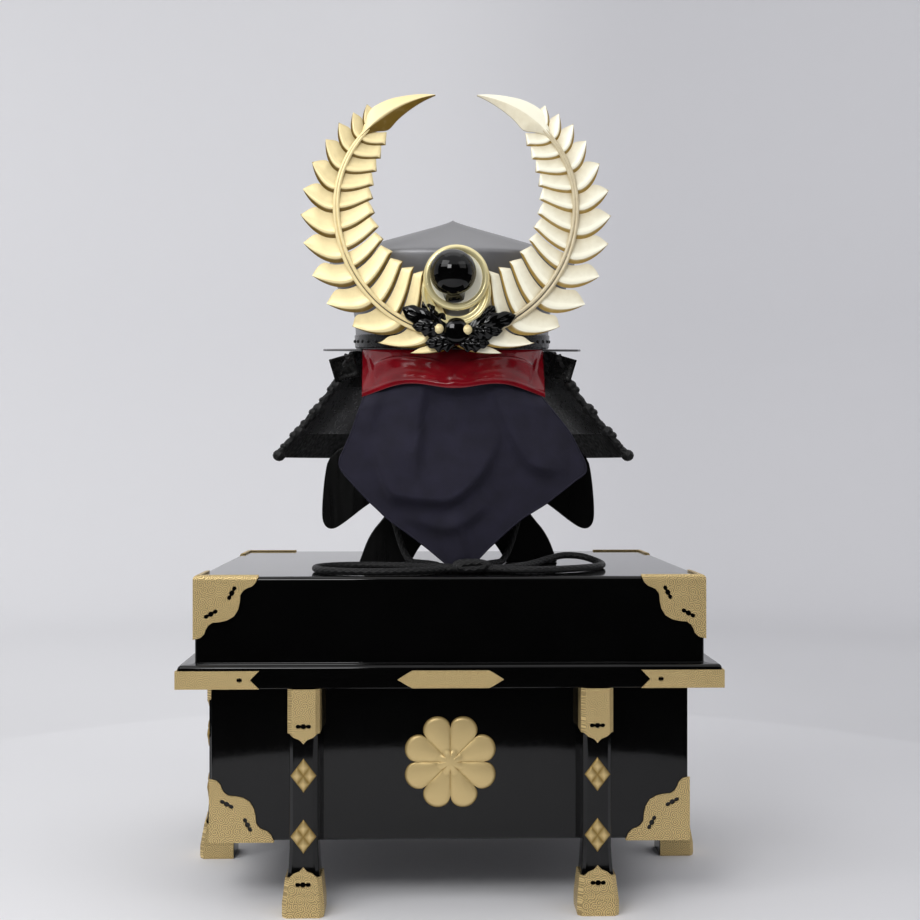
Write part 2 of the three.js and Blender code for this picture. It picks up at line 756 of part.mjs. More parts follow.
function buildCrestCentre() {
  const base = 3;
  const profile = [
    [0, 0],
    [cupRadius - 2.5, 0],
    [cupRadius, base],
    [cupRadius, cupDepth - 2],
    [cupRadius - 2, cupDepth],
    [cupOpening + 1.5, cupDepth],
    [cupOpening, cupDepth - 2],
    [cupOpening, base],
    [0, base],
  ].map(([r, h]) => new THREE.Vector2(r, h));
  const cupY = crestFrontY - seat;
  const cup = new THREE.LatheGeometry(profile, 24).rotateX(Math.PI).translate(crestX, cupY, cupZ);
  const closed = closedGeometry(...pointsOf(cup));
  add("crest_cup", closed, gilt);

  const ballAt = new THREE.Vector3(crestX - 2.5, cupY - cupDepth - ballRadius * 0.62, cupZ + ballRise);
  const foot = new THREE.Vector3(crestX - 1, cupY - base - seat, cupZ - neckRadius);
  const neckTop = ballAt.clone().lerp(foot, 0.25);
  const axis = foot.clone().sub(neckTop);
  const neck = new THREE.CylinderGeometry(neckRadius, neckRadius * 1.15, axis.length() * 1.5, 14);
  neck.applyQuaternion(
    new THREE.Quaternion().setFromUnitVectors(new THREE.Vector3(0, -1, 0), axis.clone().normalize()),
  );
  neck.translate(...neckTop.clone().lerp(foot, 0.75).toArray());
  const ball = new THREE.SphereGeometry(ballRadius, 18, 11).translate(...ballAt.toArray());
  const keep = boxSolid(
    [crestX - 2 * cupRadius, crestX + 2 * cupRadius],
    [cupY - 4 * ballRadius, cupY - base - seat],
    [cupZ - 2 * cupRadius, cupZ + 2 * cupRadius],
  );
  const neckSolid = toSolid(closedGeometry(...pointsOf(neck))).intersect(keep);
  const ballSolid = toSolid(closedGeometry(...pointsOf(ball)));
  add("crest_ball", fromSolid(ballSolid.add(neckSolid)), blackLacquer);
}

function pointsOf(geometry) {
  const at = geometry.getAttribute("position");
  const points = Array.from({ length: at.count }, (_, k) => new THREE.Vector3().fromBufferAttribute(at, k));
  const index = Array.from(geometry.index.array);
  const faces = [];
  for (let i = 0; i < index.length; i += 3) faces.push(index.slice(i, i + 3));
  return [points, faces];
}

// A leaf from its root to its tip; fullness is its half width.
function leafOutline(root, tip, fullness) {
  const steps = 8;
  const [dx, dz] = [tip[0] - root[0], tip[1] - root[1]];
  const length = Math.hypot(dx, dz);
  const edge = (sign) =>
    Array.from({ length: steps }, (_, k) => {
      const share = (k + 0.5) / steps;
      const width = sign * fullness * Math.sin(Math.PI * share ** 0.8);
      return [root[0] + dx * share - (dz / length) * width, root[1] + dz * share + (dx / length) * width];
    });
  return [root, ...edge(-1), tip, ...edge(1).reverse()];
}

// Three carved leaves below the cup: the root and tip of each, from the stem's bottom, and its half width.
const crestLeaves = [
  { root: [-4, 0], tip: [-54, 26], fullness: 13 },
  { root: [6, 0], tip: [59, 19], fullness: 12 },
  { root: [-27, -10], tip: [27, -10], fullness: 12 },
];

function buildCrestLeaves() {
  const y = crestFrontY - seat;
  const thickness = 5;
  const at = ([x, z]) => [crestX + x, stemBottomZ + z];
  const boss = Array.from({ length: 14 }, (_, k) => {
    const angle = (k / 14) * 2 * Math.PI;
    return at([14 * Math.cos(angle), 3 + 14 * Math.sin(angle)]);
  });
  let leaves = prismSolid(boss, thickness, "front", [0, y, 0]);
  for (const { root, tip, fullness } of crestLeaves) {
    leaves = leaves.add(prismSolid(leafOutline(at(root), at(tip), fullness), thickness, "front", [0, y, 0]));
  }
  const clear = Array.from({ length: 28 }, (_, k) => {
    const angle = (k / 28) * 2 * Math.PI;
    const radius = cupRadius + 2 * seat;
    return [crestX + radius * Math.cos(angle), cupZ + radius * Math.sin(angle)];
  });
  add("crest_leaves", fromSolid(leaves.subtract(prismSolid(clear, 40, "front", [0, y + 10, 0]))), blackLacquer);
}

// The holder reaches from the bowl's front to the back of the crest, and its tongue carries the cup.
function buildCrestHolder() {
  const [low, high] = [stemBottomZ + 2, stemBottomZ + holderHeight];
  const block = [
    [crestBackY + seat, low],
    [bowlFrontY(low) + seat, low],
    [bowlFrontY(high) + seat, high],
    [crestBackY + seat, high],
  ];
  const tongue = [
    [-tongueWidth / 2, high - holderHeight / 2],
    [tongueWidth / 2, high - holderHeight / 2],
    [tongueWidth / 2, cupZ + cupRadius / 3],
    [-tongueWidth / 2, cupZ + cupRadius / 3],
  ];
  const back = crestBackY + holderHeight / 4;
  const post = prismSolid(tongue, back - crestFrontY, "front", [crestX, back, 0]);
  const body = prismSolid(block, holderWidth, "side", [crestX - holderWidth / 2, 0, 0]);
  add("crest_holder", fromSolid(body.add(post)), satinIron);
}

// Stand: two crossed boards. Outlines are right halves as [across, height above the lid].
const frontBoardHalf = [
  [0, 34],
  [24, 31],
  [40, 21],
  [52, 0],
  [standFoot, 0],
  [standFoot - 11, 30],
  [standFoot - 28, 50],
  [standFoot - 37, 64],
  [standFoot - 27, 73],
  [standFoot - 8, 62],
  [standShoulder - 24, 42],
  [standShoulder - 12, 35],
  [standShoulder - 3, 39],
  [standShoulder, 52],
  [standShoulder - 3, 92],
  [standShoulder - 8, 116],
  [standShoulder - 34, 132],
  [standHeadWidth - 8, 140],
  [standHeadWidth - 20, 158],
  [standHeadWidth - 18, 205],
  [standHeadWidth - 3, 245],
  [standHeadWidth, 290],
  [standHeadWidth - 16, 326],
  [standHeadWidth - 52, 346],
];
const sideBoardHalf = [
  [0, 30],
  [34, 30],
  [56, 0],
  [standHalfDepth, 0],
  [standHalfDepth - 9, 60],
  [standHalfDepth - 14, 120],
  [standHalfDepth - 30, 165],
  [standHalfDepth - 30, 215],
  [standHalfDepth - 16, 255],
  [standHalfDepth - 13, 300],
  [standHalfDepth - 35, 338],
];

function buildStand() {
  const [shoulder, ridge] = [bowlRings.at(-2), bowlRings.at(-1)];
  const roofSlope = (crownHeight * (ridge.up - shoulder.up)) / (crownHalfWidth * shoulder.wide);
  const offCentre = Math.abs(standX - helmetX) + boardThickness / 2;
  const topZ = rimZ + crownHeight - bowlWall * 1.1 - roofSlope * offCentre - 2 * seat;
  const height = topZ - lidTop;
  const whole = (half, top) => {
    const right = [...half, top];
    return [...right, ...mirrored(right.slice(1))].map(([a, b]) => [a, b + lidTop + seat]);
  };
  const front = whole(frontBoardHalf, [boardThickness / 2 + 2, height - 4]);
  const side = whole(sideBoardHalf, [24, height - seat]);
  const slot = boardThickness / 2 + seat;
  const frontY = standY + boardThickness / 2;
  const placedFront = front.map(([a, b]) => [a + standX, b]);
  const placedSide = side.map(([a, b]) => [a + standY, b]);
  const [wide, deep] = [2 * standShoulder, 2 * standHalfDepth];
  const lower = boxSolid(
    [standX - slot, standX + slot],
    [standY - deep, standY + deep],
    [0, lidTop + jointHeight + seat],
  );
  const upper = boxSolid(
    [standX - wide, standX + wide],
    [standY - slot, standY + slot],
    [lidTop + jointHeight, rimZ + crownHeight],
  );
  const frontBoard = prismSolid(placedFront, boardThickness, "front", [0, frontY, 0]).subtract(lower);
  const sideX = standX - boardThickness / 2;
  const sideBoard = prismSolid(placedSide, boardThickness, "side", [sideX, 0, 0]).subtract(upper);
  add("stand_front_board", fromSolid(frontBoard), stainedWood);
  add("stand_side_board", fromSolid(sideBoard), stainedWood);
}

// Kerchief: its two edges at each share of its drop, as shares of clothHalfWidth from the helmet's middle.
const clothEdges = [
  { down: 0, left: -0.64, right: 0.63 },
  { down: 0.1, left: -0.67, right: 0.66 },
  { down: 0.28, left: -0.76, right: 0.87 },
  { down: 0.44, left: -0.86, right: 0.99 },
  { down: 0.49, left: -0.83, right: 1 },
  { down: 0.66, left: -0.61, right: 0.68 },
  { down: 0.75, left: -0.48, right: 0.49 },
  { down: 0.89, left: -0.2, right: 0.26 },
  { down: 1, left: 0, right: 0.12 },
];
const clothRows = 15;
const clothColumns = 14;
const clothFolds = [
  { from: [-0.3, 0], to: [-0.38, 0.5], depth: 6, width: 0.08 },
  { from: [-0.5, 0.62], to: [0.55, 0.35], depth: 7, width: 0.09 },
  { from: [0.35, 0.08], to: [0.75, 0.4], depth: 5, width: 0.08 },
  { from: [0, 0.75], to: [0.2, 0.9], depth: 5, width: 0.07 },
];

function foldDepth(x, down) {
  return clothFolds.reduce((sum, { from, to, depth, width }) => {
    const [ax, ay] = [to[0] - from[0], to[1] - from[1]];
    const share = ((x - from[0]) * ax + (down - from[1]) * ay) / (ax * ax + ay * ay);
    const near = THREE.MathUtils.clamp(share, 0, 1);
    const away = Math.hypot(x - from[0] - near * ax, down - from[1] - near * ay);
    return sum + depth * Math.exp(-((away / width) ** 2));
  }, 0);
}

function clothPoint(across, down) {
  const left = tableValue(clothEdges, "down", down, "left");
  const right = tableValue(clothEdges, "down", down, "right");
  const x = THREE.MathUtils.lerp(left, right, (across + 1) / 2);
  const pinned = visorPoint(THREE.MathUtils.clamp((x * clothHalfWidth) / visorLipHalfWidth, -1, 1), 0.62);
  const topY = pinned.y + seat;
  const topZ = pinned.z - 4 * seat;
  const bottomZ = lidTop + seat;
  const hangY = helmetY - rimHalfDepth - 12 + 26 * x * x;
  const settle = THREE.MathUtils.smoothstep(down, 0, 0.16);
  const y = THREE.MathUtils.lerp(topY, hangY, settle) - foldDepth(x, down) * settle;
  return new THREE.Vector3(helmetX + x * clothHalfWidth, y, THREE.MathUtils.lerp(topZ, bottomZ, down));
}

function buildCloth() {
  const rings = [];
  for (let r = 0; r <= clothRows; r++) {
    const front = [];
    for (let c = 0; c <= clothColumns; c++) front.push(clothPoint((2 * c) / clothColumns - 1, r / clothRows));
    const back = front.map((p) => new THREE.Vector3(p.x, p.y + clothThickness, p.z)).reverse();
    rings.push([...front, ...back]);
  }
  add("kerchief", loft(rings), navyCloth);
}

// Chin cord: routes through chosen points. It hangs from the bowl's inner rim and lies on the lid as a bow.
const lieZ = lidTop + seat + cordDiameter / 2;
const knotAt = [22, -148];
const knotLeft = knotAt[0] - knotWidth / 2 - seat;
const knotRight = knotAt[0] + knotWidth / 2 + seat;
const knotBack = knotAt[1] + knotDepth / 2 + seat;
const cordRoutes = {
  cord_drop_left: [
    [-89, -20, 553],
    [-89, -20, 520],
    [-86, -22, 480],
    [-78, -26, 440],
    [-68, -31, 400],
    [-57, -37, 362],
    [-48, -44, 334],
    [-40, -52, lieZ + 1.5],
    [-31, -61, lieZ],
    [-23, -72, lieZ],
    [-16, -85, lieZ],
    [-12, -99, lieZ],
    [-10, -111, lieZ],
    [-4, -122, lieZ],
    [7, knotBack, lieZ],
  ],
  cord_drop_right: [
    [99, -20, 553],
    [99, -20, 520],
    [97, -22, 480],
    [92, -26, 440],
    [84, -31, 400],
    [74, -37, 362],
    [65, -44, 334],
    [57, -52, lieZ + 1.5],
    [50, -61, lieZ],
    [44, -72, lieZ],
    [39, -85, lieZ],
    [35, -99, lieZ],
    [32, -114, lieZ],
    [31, -124, lieZ],
    [31, knotBack, lieZ],
  ],
  cord_loop_left: [
    [knotLeft, -142, lieZ],
    [-8, -139, lieZ],
    [-20, -129, lieZ],
    [-38, -112, lieZ],
    [-60, -100, lieZ],
    [-84, -95, lieZ],
    [-106, -97, lieZ],
    [-123, -108, lieZ],
    [-132, -126, lieZ],
    [-131, -148, lieZ],
    [-120, -168, lieZ],
    [-101, -181, lieZ],
    [-78, -186, lieZ],
    [-54, -185, lieZ],
    [-32, -178, lieZ],
    [-16, -166, lieZ],
    [-7, -157, lieZ],
    [knotLeft, -154, lieZ],
  ],
  cord_loop_right: [
    [knotRight, -142, lieZ],
    [52, -139, lieZ],
    [63, -127, lieZ],
    [74, -108, lieZ],
    [87, -88, lieZ + 1],
    [103, -69, lieZ + 4],
    [121, -56, lieZ + 7],
    [140, -55, lieZ + 6],
    [154, -67, lieZ + 2],
    [158, -87, lieZ],
    [153, -110, lieZ],
    [140, -131, lieZ],
    [121, -148, lieZ],
    [99, -160, lieZ],
    [78, -165, lieZ],
    [62, -161, lieZ],
    [53, -156, lieZ],
    [knotRight, -154, lieZ],
  ],
};

function buildCord() {
  const sides = 8;
  const section = new THREE.Shape(
    Array.from({ length: sides }, (_, k) => {
      const angle = (k / sides) * 2 * Math.PI;
      return new THREE.Vector2((cordDiameter / 2) * Math.cos(angle), (cordDiameter / 2) * Math.sin(angle));
    }),
  );
  for (const [name, route] of Object.entries(cordRoutes)) {
    const curve = new THREE.CatmullRomCurve3(route.map((p) => new THREE.Vector3(...p)));
    const steps = Math.round(curve.getLength() / (2.8 * cordDiameter));
    add(name, new THREE.ExtrudeGeometry(section, { steps, extrudePath: curve }), blackCord);
  }
  const rings = [];
  for (const [share, level] of [
    [0.8, 0],
    [1, 0.25],
    [1, 0.65],
    [0.75, 1],
  ]) {
    const ring = [];
    for (let k = 0; k < 16; k++) {
      const angle = ((k + 0.5) / 16) * 2 * Math.PI;
      const halfDepth = (knotDepth / 2) * share;
      const [x, y] = ovalPoint(angle, (knotWidth / 2) * share, halfDepth, halfDepth);
      ring.push(new THREE.Vector3(knotAt[0] + x, knotAt[1] + y, lidTop + seat + level * knotHeight));
    }
    rings.push(ring);
  }
  add("cord_knot", loft(rings), blackCord);
}

buildChest();
buildLegs();
buildFittings();
buildRosette();
buildStand();
buildBowl();
buildFlange();
buildVisor();
buildNeckGuard();
buildTurnbacks();
buildFern();
buildCrestCentre();
buildCrestLeaves();
buildCrestHolder();
buildCloth();
buildCord();

export default kabuto;
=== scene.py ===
"""A samurai helmet with a fern crest on its wooden stand, on a six-legged lacquered chest.

The visual model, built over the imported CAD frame. Metres, +Z up, +X to the right, +Y to the back. Sizes in the
dataclasses are millimetres, and `mm` turns them to metres.
"""
import logging
import math
from dataclasses import dataclass, field
from enum import Enum
from typing import Any

import bmesh
import bpy
import numpy as np
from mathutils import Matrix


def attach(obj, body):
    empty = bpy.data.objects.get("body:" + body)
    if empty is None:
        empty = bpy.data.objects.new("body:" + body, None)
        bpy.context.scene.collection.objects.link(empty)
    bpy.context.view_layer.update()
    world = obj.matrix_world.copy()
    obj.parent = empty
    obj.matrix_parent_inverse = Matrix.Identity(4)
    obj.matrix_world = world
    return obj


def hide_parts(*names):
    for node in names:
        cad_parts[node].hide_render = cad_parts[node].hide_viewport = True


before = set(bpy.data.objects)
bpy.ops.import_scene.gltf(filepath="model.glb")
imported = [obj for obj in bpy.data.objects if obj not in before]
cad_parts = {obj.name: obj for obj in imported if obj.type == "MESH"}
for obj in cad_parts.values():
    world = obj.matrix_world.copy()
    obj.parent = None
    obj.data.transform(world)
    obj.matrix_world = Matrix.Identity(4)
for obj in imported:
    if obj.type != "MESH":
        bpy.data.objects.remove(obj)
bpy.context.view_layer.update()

log = logging.getLogger("kabuto")
SEAT = 0.3  # the clearance that the CAD leaves between two pieces that touch
TURN = 2 * math.pi


def mm(values: Any) -> np.ndarray:
    """Turns millimetres to metres."""
    return np.asarray(values, float) * 0.001


def linear(hex_colour: str) -> tuple[float, float, float, float]:
    """Turns an sRGB hex colour to linear RGBA.

    Args:
        hex_colour: six hex digits after a hash.

    Returns:
        Linear red, green, blue and an alpha of 1.
    """
    srgb = np.array([int(hex_colour[i : i + 2], 16) for i in (1, 3, 5)]) / 255
    rgb = np.where(srgb <= 0.04045, srgb / 12.92, ((srgb + 0.055) / 1.055) ** 2.4)
    return (*rgb.tolist(), 1.0)


def add_node(tree: bpy.types.NodeTree, kind: str, inputs: dict | None = None, **settings: Any) -> bpy.types.Node:
    """Adds a shader node.

    Args:
        tree: the material's node tree.
        kind: the node's type name.
        inputs: what each input takes, by name or number: another node's output socket, or a value.
        settings: the node's own settings.

    Returns:
        The new node.
    """
    node = tree.nodes.new(kind)
    for name, value in settings.items():
        setattr(node, name, value)
    for name, value in (inputs or {}).items():
        socket = node.inputs[name]
        if isinstance(value, bpy.types.NodeSocket):
            tree.links.new(value, socket)
        else:
            socket.default_value = value
    return node


# Finishes


@dataclass(frozen=True)
class Finish:
    """A surface finish in two tones, which makes one material the first time it is asked for."""

    name: str
    colour: str
    shade: str

    def material(self) -> bpy.types.Material:
        """Returns the finish's material."""
        made = bpy.data.materials.get(self.name)
        if made is None:
            made = bpy.data.materials.new(self.name)
            made.use_nodes = True
            tree = made.node_tree
            tree.nodes.clear()
            shader = add_node(tree, "ShaderNodeBsdfPrincipled", self.inputs(tree))
            add_node(tree, "ShaderNodeOutputMaterial", {"Surface": shader.outputs["BSDF"]})
        return made

    def inputs(self, tree: bpy.types.NodeTree) -> dict[str, Any]:
        """Makes the finish's patterns and gives the shader's inputs, as values and sockets by name."""
        raise NotImplementedError

    def coat(
        self,
        tree: bpy.types.NodeTree,
        share: bpy.types.NodeSocket,
        height: bpy.types.NodeSocket,
        deep_mm: float,
        strength: float,
    ) -> dict[str, Any]:
        """Goes from the shade to the colour by a share and raises the surface by a height.

        Args:
            tree: the material's node tree.
            share: 0 where the shade shows, 1 where the colour does.
            height: the surface's height, from 0 to 1.
            deep_mm: how far that is.
            strength: how much it bends the light.

        Returns:
            The shader's colour and normal.
        """
        tint = add_node(tree, "ShaderNodeMix", {
            "Factor": share, "A": linear(self.shade), "B": linear(self.colour),
        }, data_type="RGBA")
        bump = add_node(tree, "ShaderNodeBump", {"Height": height, "Distance": deep_mm * 0.001, "Strength": strength})
        return {"Base Color": tint.outputs["Result"], "Normal": bump.outputs["Normal"]}


@dataclass(frozen=True)
class Urushi(Finish):
    """Polished urushi lacquer: many thin coats rubbed down and buffed, so it is deep, wet-looking and almost flat.

    It shows as a dark body colour under a clear, sharp reflection, which wavers a little where the wood below moved.
    """

    roughness: float = 0.1
    wave_mm: float = 45.0
    wave_depth_mm: float = 0.05

    def inputs(self, tree: bpy.types.NodeTree) -> dict[str, Any]:
        """Sets a deep body colour, a clear top and a slow waver in the surface."""
        place = add_node(tree, "ShaderNodeTexCoord").outputs["Object"]
        slow = add_node(tree, "ShaderNodeTexNoise", {"Vector": place, "Scale": 1000 / self.wave_mm, "Detail": 1.0})
        # Rubbing marks and settled dust, about 4 mm across.
        haze = add_node(tree, "ShaderNodeTexNoise", {"Vector": place, "Scale": 240.0, "Detail": 5.0})
        rough = add_node(tree, "ShaderNodeMapRange", {
            "Value": haze.outputs["Fac"], "From Min": 0.35, "From Max": 0.75, "To Min": self.roughness * 0.8,
            "To Max": self.roughness * 1.5,
        })
        tint = add_node(tree, "ShaderNodeMix", {
            "Factor": slow.outputs["Fac"], "A": linear(self.colour), "B": linear(self.shade),
        }, data_type="RGBA")
        bump = add_node(tree, "ShaderNodeBump", {
            "Height": slow.outputs["Fac"], "Distance": self.wave_depth_mm * 0.001, "Strength": 1.0,
        })
        return {
            "Base Color": tint.outputs["Result"], "Roughness": rough.outputs["Result"], "IOR": 1.4,
            "Normal": bump.outputs["Normal"],
        }


@dataclass(frozen=True)
class SatinIron(Finish):
    """Forged iron under a rubbed satin lacquer: a dark grey with a soft, broad shine and a fine hammered grain."""

    roughness: float = 0.4
    grain_mm: float = 1.6

    def inputs(self, tree: bpy.types.NodeTree) -> dict[str, Any]:
        """Sets a broad shine, a patchy tone and a fine grain."""
        place = add_node(tree, "ShaderNodeTexCoord").outputs["Object"]
        patch = add_node(tree, "ShaderNodeTexNoise", {"Vector": place, "Scale": 22.0, "Detail": 4.0})
        grain = add_node(tree, "ShaderNodeTexNoise", {"Vector": place, "Scale": 1000 / self.grain_mm, "Detail": 3.0})
        rough = add_node(tree, "ShaderNodeMapRange", {
            "Value": patch.outputs["Fac"], "From Min": 0.3, "From Max": 0.7, "To Min": self.roughness * 0.85,
            "To Max": self.roughness * 1.15,
        })
        coat = self.coat(tree, patch.outputs["Fac"], grain.outputs["Fac"], 0.12, 0.7)
        return {
            **coat, "Metallic": 0.55, "Roughness": rough.outputs["Result"], "Coat Weight": 0.15,
            "Coat Roughness": 0.25,
        }


@dataclass(frozen=True)
class EtchedGilt(Finish):
    """Gilt copper plate with etched scrolls on a punched ground.

    Curling vines stand a little proud and shine; the ground between them is matt with small round punch marks. The
    real punches are about 0.8 mm apart, and they are drawn at 1.3 mm so that they show.
    """

    roughness: float = 0.42
    vine_mm: float = 7.5
    punch_mm: float = 1.3

    def inputs(self, tree: bpy.types.NodeTree) -> dict[str, Any]:
        """Draws a spiral round each random centre of a flat pattern, over round punch marks.

        The pattern's two axes are x + y and z, which lie along every upright face of the chest.
        """
        place = add_node(tree, "ShaderNodeTexCoord").outputs["Object"]
        axes = add_node(tree, "ShaderNodeSeparateXYZ", {"Vector": place})
        across = add_node(tree, "ShaderNodeMath", {0: axes.outputs["X"], 1: axes.outputs["Y"]}, operation="ADD")
        flat = add_node(tree, "ShaderNodeCombineXYZ", {"X": across.outputs["Value"], "Y": axes.outputs["Z"]})
        centres = add_node(tree, "ShaderNodeTexVoronoi", {
            "Vector": flat.outputs["Vector"], "Scale": 1000 / self.vine_mm, "Randomness": 0.75,
        }, voronoi_dimensions="2D")
        away = add_node(tree, "ShaderNodeVectorMath", {
            0: flat.outputs["Vector"], 1: centres.outputs["Position"],
        }, operation="SUBTRACT")
        parts = add_node(tree, "ShaderNodeSeparateXYZ", {"Vector": away.outputs["Vector"]})
        turn = add_node(tree, "ShaderNodeMath", {0: parts.outputs["Y"], 1: parts.outputs["X"]}, operation="ARCTAN2")
        # One turn of the angle moves the spiral out by one pitch, a quarter of the pattern's size.
        wound = add_node(tree, "ShaderNodeMath", {
            0: centres.outputs["Distance"], 1: 4.2 * TURN, 2: turn.outputs["Value"],
        }, operation="MULTIPLY_ADD")
        curl = add_node(tree, "ShaderNodeMath", {0: wound.outputs["Value"]}, operation="COSINE")
        vine = add_node(tree, "ShaderNodeMapRange", {
            "Value": curl.outputs["Value"], "From Min": 0.0, "From Max": 0.55,
        }, interpolation_type="SMOOTHSTEP")
        punches = add_node(
            tree, "ShaderNodeTexVoronoi", {"Vector": place, "Scale": 1000 / self.punch_mm, "Randomness": 0.35}
        )
        dimple = add_node(tree, "ShaderNodeMapRange", {
            "Value": punches.outputs["Distance"], "From Min": 0.15, "From Max": 0.55, "To Min": 1.0, "To Max": 0.0,
        })
        ground = add_node(tree, "ShaderNodeMath", {
            0: dimple.outputs["Result"], 1: -0.45, 2: 0.55,
        }, operation="MULTIPLY_ADD")
        height = add_node(tree, "ShaderNodeMix", {
            "Factor": vine.outputs["Result"], "A": ground.outputs["Value"], "B": 1.0,
        }, data_type="FLOAT")
        rough = add_node(tree, "ShaderNodeMapRange", {
            "Value": height.outputs["Result"], "To Min": self.roughness * 1.4, "To Max": self.roughness * 0.8,
        })
        coat = self.coat(tree, height.outputs["Result"], height.outputs["Result"], 0.4, 0.8)
        return {**coat, "Metallic": 0.55, "Roughness": rough.outputs["Result"]}


@dataclass(frozen=True)
class LeafGilt(Finish):
    """Pressed copper sheet, gilded pale, with light and shade painted in: bright satin ribs and deeper gold low down.

    The piece's own relief attribute goes from 0, painted shade in the grooves, to 1, a painted highlight on the ribs.
    """

    roughness: float = 0.3
    metallic: float = 0.85
    grain: float = 0.6

    def inputs(self, tree: bpy.types.NodeTree) -> dict[str, Any]:
        """Mixes painted shade and highlight by the relief attribute and a random mottle, with a fine brushed grain.
        """
        # The relief attribute: 0 for painted shade, 1 for a painted highlight.
        painted_light = add_node(tree, "ShaderNodeAttribute", attribute_name="painted_light")
        place = add_node(tree, "ShaderNodeTexCoord").outputs["Object"]
        mottle = add_node(tree, "ShaderNodeTexNoise", {"Vector": place, "Scale": 160.0, "Detail": 4.0})
        mottle_and_painted_light = add_node(tree, "ShaderNodeMath", {
            0: mottle.outputs["Fac"], 1: 0.22, 2: painted_light.outputs["Fac"],
        }, operation="MULTIPLY_ADD")
        share = add_node(tree, "ShaderNodeMapRange", {
            "Value": mottle_and_painted_light.outputs["Value"], "From Min": 0.12, "From Max": 0.9,
        })
        grain = add_node(tree, "ShaderNodeTexNoise", {"Vector": place, "Scale": 900.0, "Detail": 2.0})
        rough = add_node(tree, "ShaderNodeMapRange", {
            "Value": mottle.outputs["Fac"], "To Min": self.roughness * 0.8, "To Max": self.roughness * 1.3,
        })
        coat = self.coat(tree, share.outputs["Result"], grain.outputs["Fac"], 0.08, self.grain)
        return {**coat, "Metallic": self.metallic, "Roughness": rough.outputs["Result"]}


@dataclass(frozen=True)
class WovenCotton(Finish):
    """Plain-weave cotton, dyed navy: matt, with fine crossed threads and a little lint on its folds.

    Real threads are about 0.35 mm apart, and they are drawn at 0.9 mm so that they show. The piece's UV map is in
    metres of the flat cloth.
    """

    thread_mm: float = 0.9

    def inputs(self, tree: bpy.types.NodeTree) -> dict[str, Any]:
        """Crosses two sets of threads that go over and under each other."""
        flat = add_node(tree, "ShaderNodeTexCoord").outputs["UV"]
        axes = add_node(tree, "ShaderNodeSeparateXYZ", {"Vector": flat})
        waves = []
        for axis in ("X", "Y"):
            angle = add_node(tree, "ShaderNodeMath", {
                0: axes.outputs[axis], 1: math.pi / (self.thread_mm * 0.001),
            }, operation="MULTIPLY")
            waves.append(add_node(tree, "ShaderNodeMath", {0: angle.outputs["Value"]}, operation="SINE"))
        weave = add_node(tree, "ShaderNodeMath", {
            0: waves[0].outputs["Value"], 1: waves[1].outputs["Value"],
        }, operation="MULTIPLY")
        slub = add_node(tree, "ShaderNodeTexNoise", {"Vector": flat, "Scale": 55.0, "Detail": 6.0})
        height = add_node(tree, "ShaderNodeMath", {
            0: weave.outputs["Value"], 1: 0.22, 2: slub.outputs["Fac"],
        }, operation="MULTIPLY_ADD")
        share = add_node(
            tree, "ShaderNodeMapRange", {"Value": height.outputs["Value"], "From Min": 0.2, "From Max": 0.85}
        )
        coat = self.coat(tree, share.outputs["Result"], height.outputs["Value"], 0.3, 0.6)
        return {
            **coat, "Roughness": 0.92, "Sheen Weight": 0.12, "Sheen Roughness": 0.5,
            "Sheen Tint": linear("#7f78a0"),
        }


@dataclass(frozen=True)
class BraidedSilk(Finish):
    """Round-braided silk cord, dyed black: a soft sheen broken by slanting strands.

    The piece's UV map is in metres round the cord and along it. Strands are drawn about 2.4 mm wide.
    """

    around_m: float = 0.022
    strands: int = 5

    def inputs(self, tree: bpy.types.NodeTree) -> dict[str, Any]:
        """Crosses two sets of strands that wind round the cord in opposite directions."""
        flat = add_node(tree, "ShaderNodeTexCoord").outputs["UV"]
        axes = add_node(tree, "ShaderNodeSeparateXYZ", {"Vector": flat})
        rate = self.strands * TURN / self.around_m
        waves = []
        for hand in (1, -1):
            slope = add_node(tree, "ShaderNodeMath", {
                0: axes.outputs["Y"], 1: 0.55 * hand, 2: axes.outputs["X"],
            }, operation="MULTIPLY_ADD")
            angle = add_node(tree, "ShaderNodeMath", {0: slope.outputs["Value"], 1: rate}, operation="MULTIPLY")
            waves.append(add_node(tree, "ShaderNodeMath", {0: angle.outputs["Value"]}, operation="SINE"))
        braid = add_node(tree, "ShaderNodeMath", {
            0: waves[0].outputs["Value"], 1: waves[1].outputs["Value"],
        }, operation="MAXIMUM")
        share = add_node(
            tree, "ShaderNodeMapRange", {"Value": braid.outputs["Value"], "From Min": -0.2, "From Max": 1.0}
        )
        coat = self.coat(tree, share.outputs["Result"], share.outputs["Result"], 0.6, 0.8)
        return {**coat, "Roughness": 0.6, "Sheen Weight": 0.08, "Sheen Roughness": 0.4}


@dataclass(frozen=True)
class StainedWood(Finish):
    """Sawn softwood board, stained black and waxed: a semi-gloss with the grain just showing along its length."""

    roughness: float = 0.28
    grain_mm: float = 5.0

    def inputs(self, tree: bpy.types.NodeTree) -> dict[str, Any]:
        """Stretches a noise twelve times along Z for the grain."""
        place = add_node(tree, "ShaderNodeTexCoord").outputs["Object"]
        rate = 1000 / self.grain_mm
        along = add_node(tree, "ShaderNodeMapping", {"Vector": place, "Scale": (rate, rate, rate / 12)})
        grain = add_node(tree, "ShaderNodeTexNoise", {"Vector": along.outputs["Vector"], "Scale": 1.0, "Detail": 5.0})
        rough = add_node(tree, "ShaderNodeMapRange", {
            "Value": grain.outputs["Fac"], "To Min": self.roughness * 0.7, "To Max": self.roughness * 1.5,
        })
        coat = self.coat(tree, grain.outputs["Fac"], grain.outputs["Fac"], 0.2, 0.6)
        return {**coat, "Roughness": rough.outputs["Result"], "IOR": 1.48}


